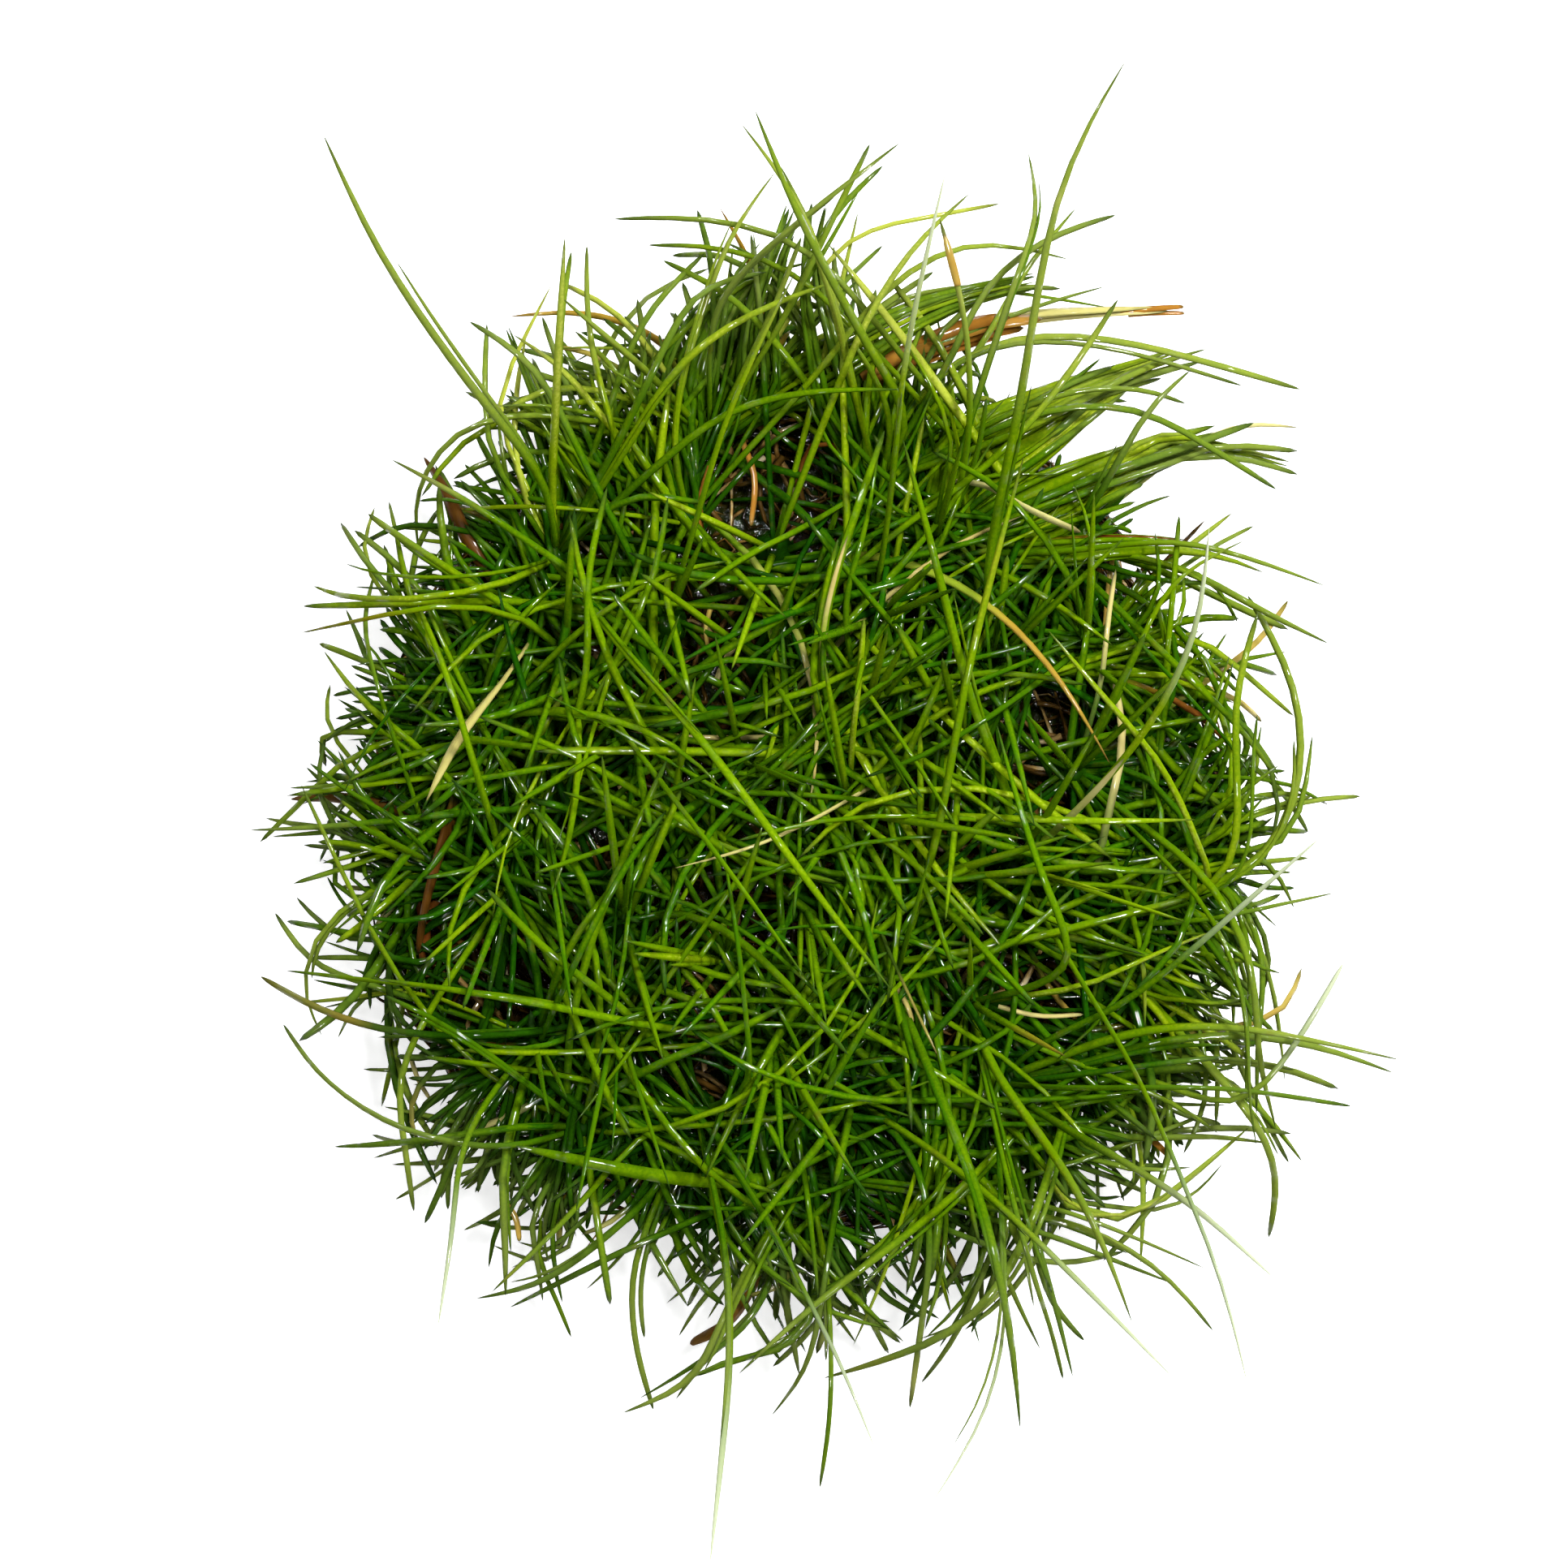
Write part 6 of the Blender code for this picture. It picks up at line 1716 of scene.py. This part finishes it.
def winding_roots(rng, shape, winding, piece):
    """Fine roots that wind round the mat's edge or under it."""
    ups_to_outs = list(zip(*[(up, out) for out, up in MAT_PROFILE[2:7]]))
    lowest, highest = winding.levels
    for _ in range(winding.count):
        bearing, height = rng.uniform(-math.pi, math.pi), rng.uniform(*winding.heights)
        turn, rise = rng.normal(0, WINDING_TURN), rng.normal(0, WINDING_RISE)
        out = float(mat_edge(bearing)) * float(np.interp(height / MAT_THICKNESS, *ups_to_outs))
        if winding.shares:
            out *= rng.uniform(*winding.shares)
        line = []
        for _ in range(ROOT_POINTS):
            away = out + rng.uniform(*winding.wander)
            up = min(max(height, lowest), highest)
            line.append((away * math.cos(bearing), away * math.sin(bearing), up))
            bearing += turn + rng.normal(0, TURN_WANDER)
            height += rise + rng.normal(0, RISE_WANDER)
        radius = rng.uniform(*ROOT_RADIUS)
        piece.add(shape, np.array(line), radius, (rng.beta(*EDGE_ROOT_DRAW), 0, 0, rng.uniform()), ROOT)


def lay_roots(rng, shape, material):
    """Fine roots over the mat, with litter in its hollows, round its edge and under it."""
    top = Piece("roots_on_top")
    roots_on_top(rng, shape, top)
    litter(rng, shape, top)
    top.build(material, "root_felt")
    for winding in WINDING_ROOTS:
        piece = Piece(winding.name)
        winding_roots(rng, shape, winding, piece)
        piece.build(material, "root_felt")


def seen_and_unseen(tree, socket, unseen, seen):
    """The socket fed one value for what the camera sees and another for all other light."""
    ray = tree.nodes.new("ShaderNodeLightPath")
    level = tree.nodes.new("ShaderNodeMapRange")
    level.inputs["To Min"].default_value = unseen
    level.inputs["To Max"].default_value = seen
    tree.links.new(ray.outputs["Is Camera Ray"], level.inputs["Value"])
    tree.links.new(level.outputs["Result"], socket)


def white_table():
    """A plain white table that glows faintly, as one lit through does."""
    deselect()
    bpy.ops.mesh.primitive_plane_add(size=TABLE_SIZE, location=(0, 0, FLOOR_LEVEL))
    table = bpy.context.object
    table.name = "white_table"
    surface = bpy.data.materials.new("white_table")
    surface.use_nodes = True
    shader = surface.node_tree.nodes["Principled BSDF"]
    shader.inputs["Base Color"].default_value = (TABLE_WHITE, TABLE_WHITE, TABLE_WHITE, 1)
    shader.inputs["Roughness"].default_value = TABLE_ROUGHNESS
    shader.inputs["Emission Color"].default_value = (1, 1, 1, 1)
    seen_and_unseen(surface.node_tree, shader.inputs["Emission Strength"], 0.0, TABLE_GLOW)
    table.data.materials.append(surface)


def soft_light(name, place, size, power, on_dull, on_wet):
    """A round lamp aimed at the plant, which shows on dull surfaces, on wet ones or on both."""
    lamp = bpy.data.lights.new(name, "AREA")
    lamp.shape = "DISK"
    lamp.size = size
    lamp.energy = power
    made = bpy.data.objects.new(name, lamp)
    bpy.context.scene.collection.objects.link(made)
    made.location = place
    made.visible_diffuse = on_dull
    made.visible_glossy = on_wet
    way = np.array(LAMP_AIM) - np.array(place)
    tilt, turn = math.acos(-way[2] / np.linalg.norm(way)), math.atan2(way[1], way[0]) - math.pi / 2
    made.rotation_euler = (tilt, 0, turn)


def studio():
    """White all round where the camera looks, but dim to the leaves, which soft lamps light."""
    world = bpy.data.worlds.new("studio")
    world.use_nodes = True
    backdrop = world.node_tree.nodes["Background"]
    backdrop.inputs["Color"].default_value = (1, 1, 1, 1)
    seen_and_unseen(world.node_tree, backdrop.inputs["Strength"], SKY, 1.0)
    bpy.context.scene.world = world
    for lamp in LAMPS:
        soft_light(*lamp)


def look_down():
    """The camera, straight above the plant as in the photo."""
    eye = bpy.data.cameras.new("eye")
    eye.sensor_width = SENSOR_WIDTH
    eye.angle = 2 * math.atan(VIEW_MIDDLE * MM_PER_PIXEL / (EYE_HEIGHT - CANOPY_HEIGHT))
    camera = bpy.data.objects.new("eye", eye)
    bpy.context.scene.collection.objects.link(camera)
    camera.location = (EYE_X * MM, EYE_Y * MM, EYE_HEIGHT * MM)
    bpy.context.scene.camera = camera
    bpy.context.scene.view_settings.view_transform = "Standard"


def main():
    """The whole scene: each piece on its nodes, then the table, the light and the camera."""
    rng = np.random.default_rng(GROWTH_SEED)
    crowns, leaves, dead = grow()
    needle = Shape(blank("needle_blank", LEAF_SIDES, LEAF_CUTS))
    long_needle = Shape(blank("long_needle_blank", LONG_LEAF_SIDES, LONG_LEAF_CUTS))
    root_shape = Shape(blank("root_blank", ROOT_SIDES, EVEN_CUTS))
    knob = Shape(blank("crown_blank", CROWN_SIDES, EVEN_CUTS))
    grow_tufts(rng, crowns, leaves, (needle, long_needle), knob, leaf_material())
    lay_dead(rng, dead, long_needle, dead_material())
    mat_felt(felt_material())
    lay_roots(rng, root_shape, root_material())
    white_table()
    studio()
    look_down()


main()
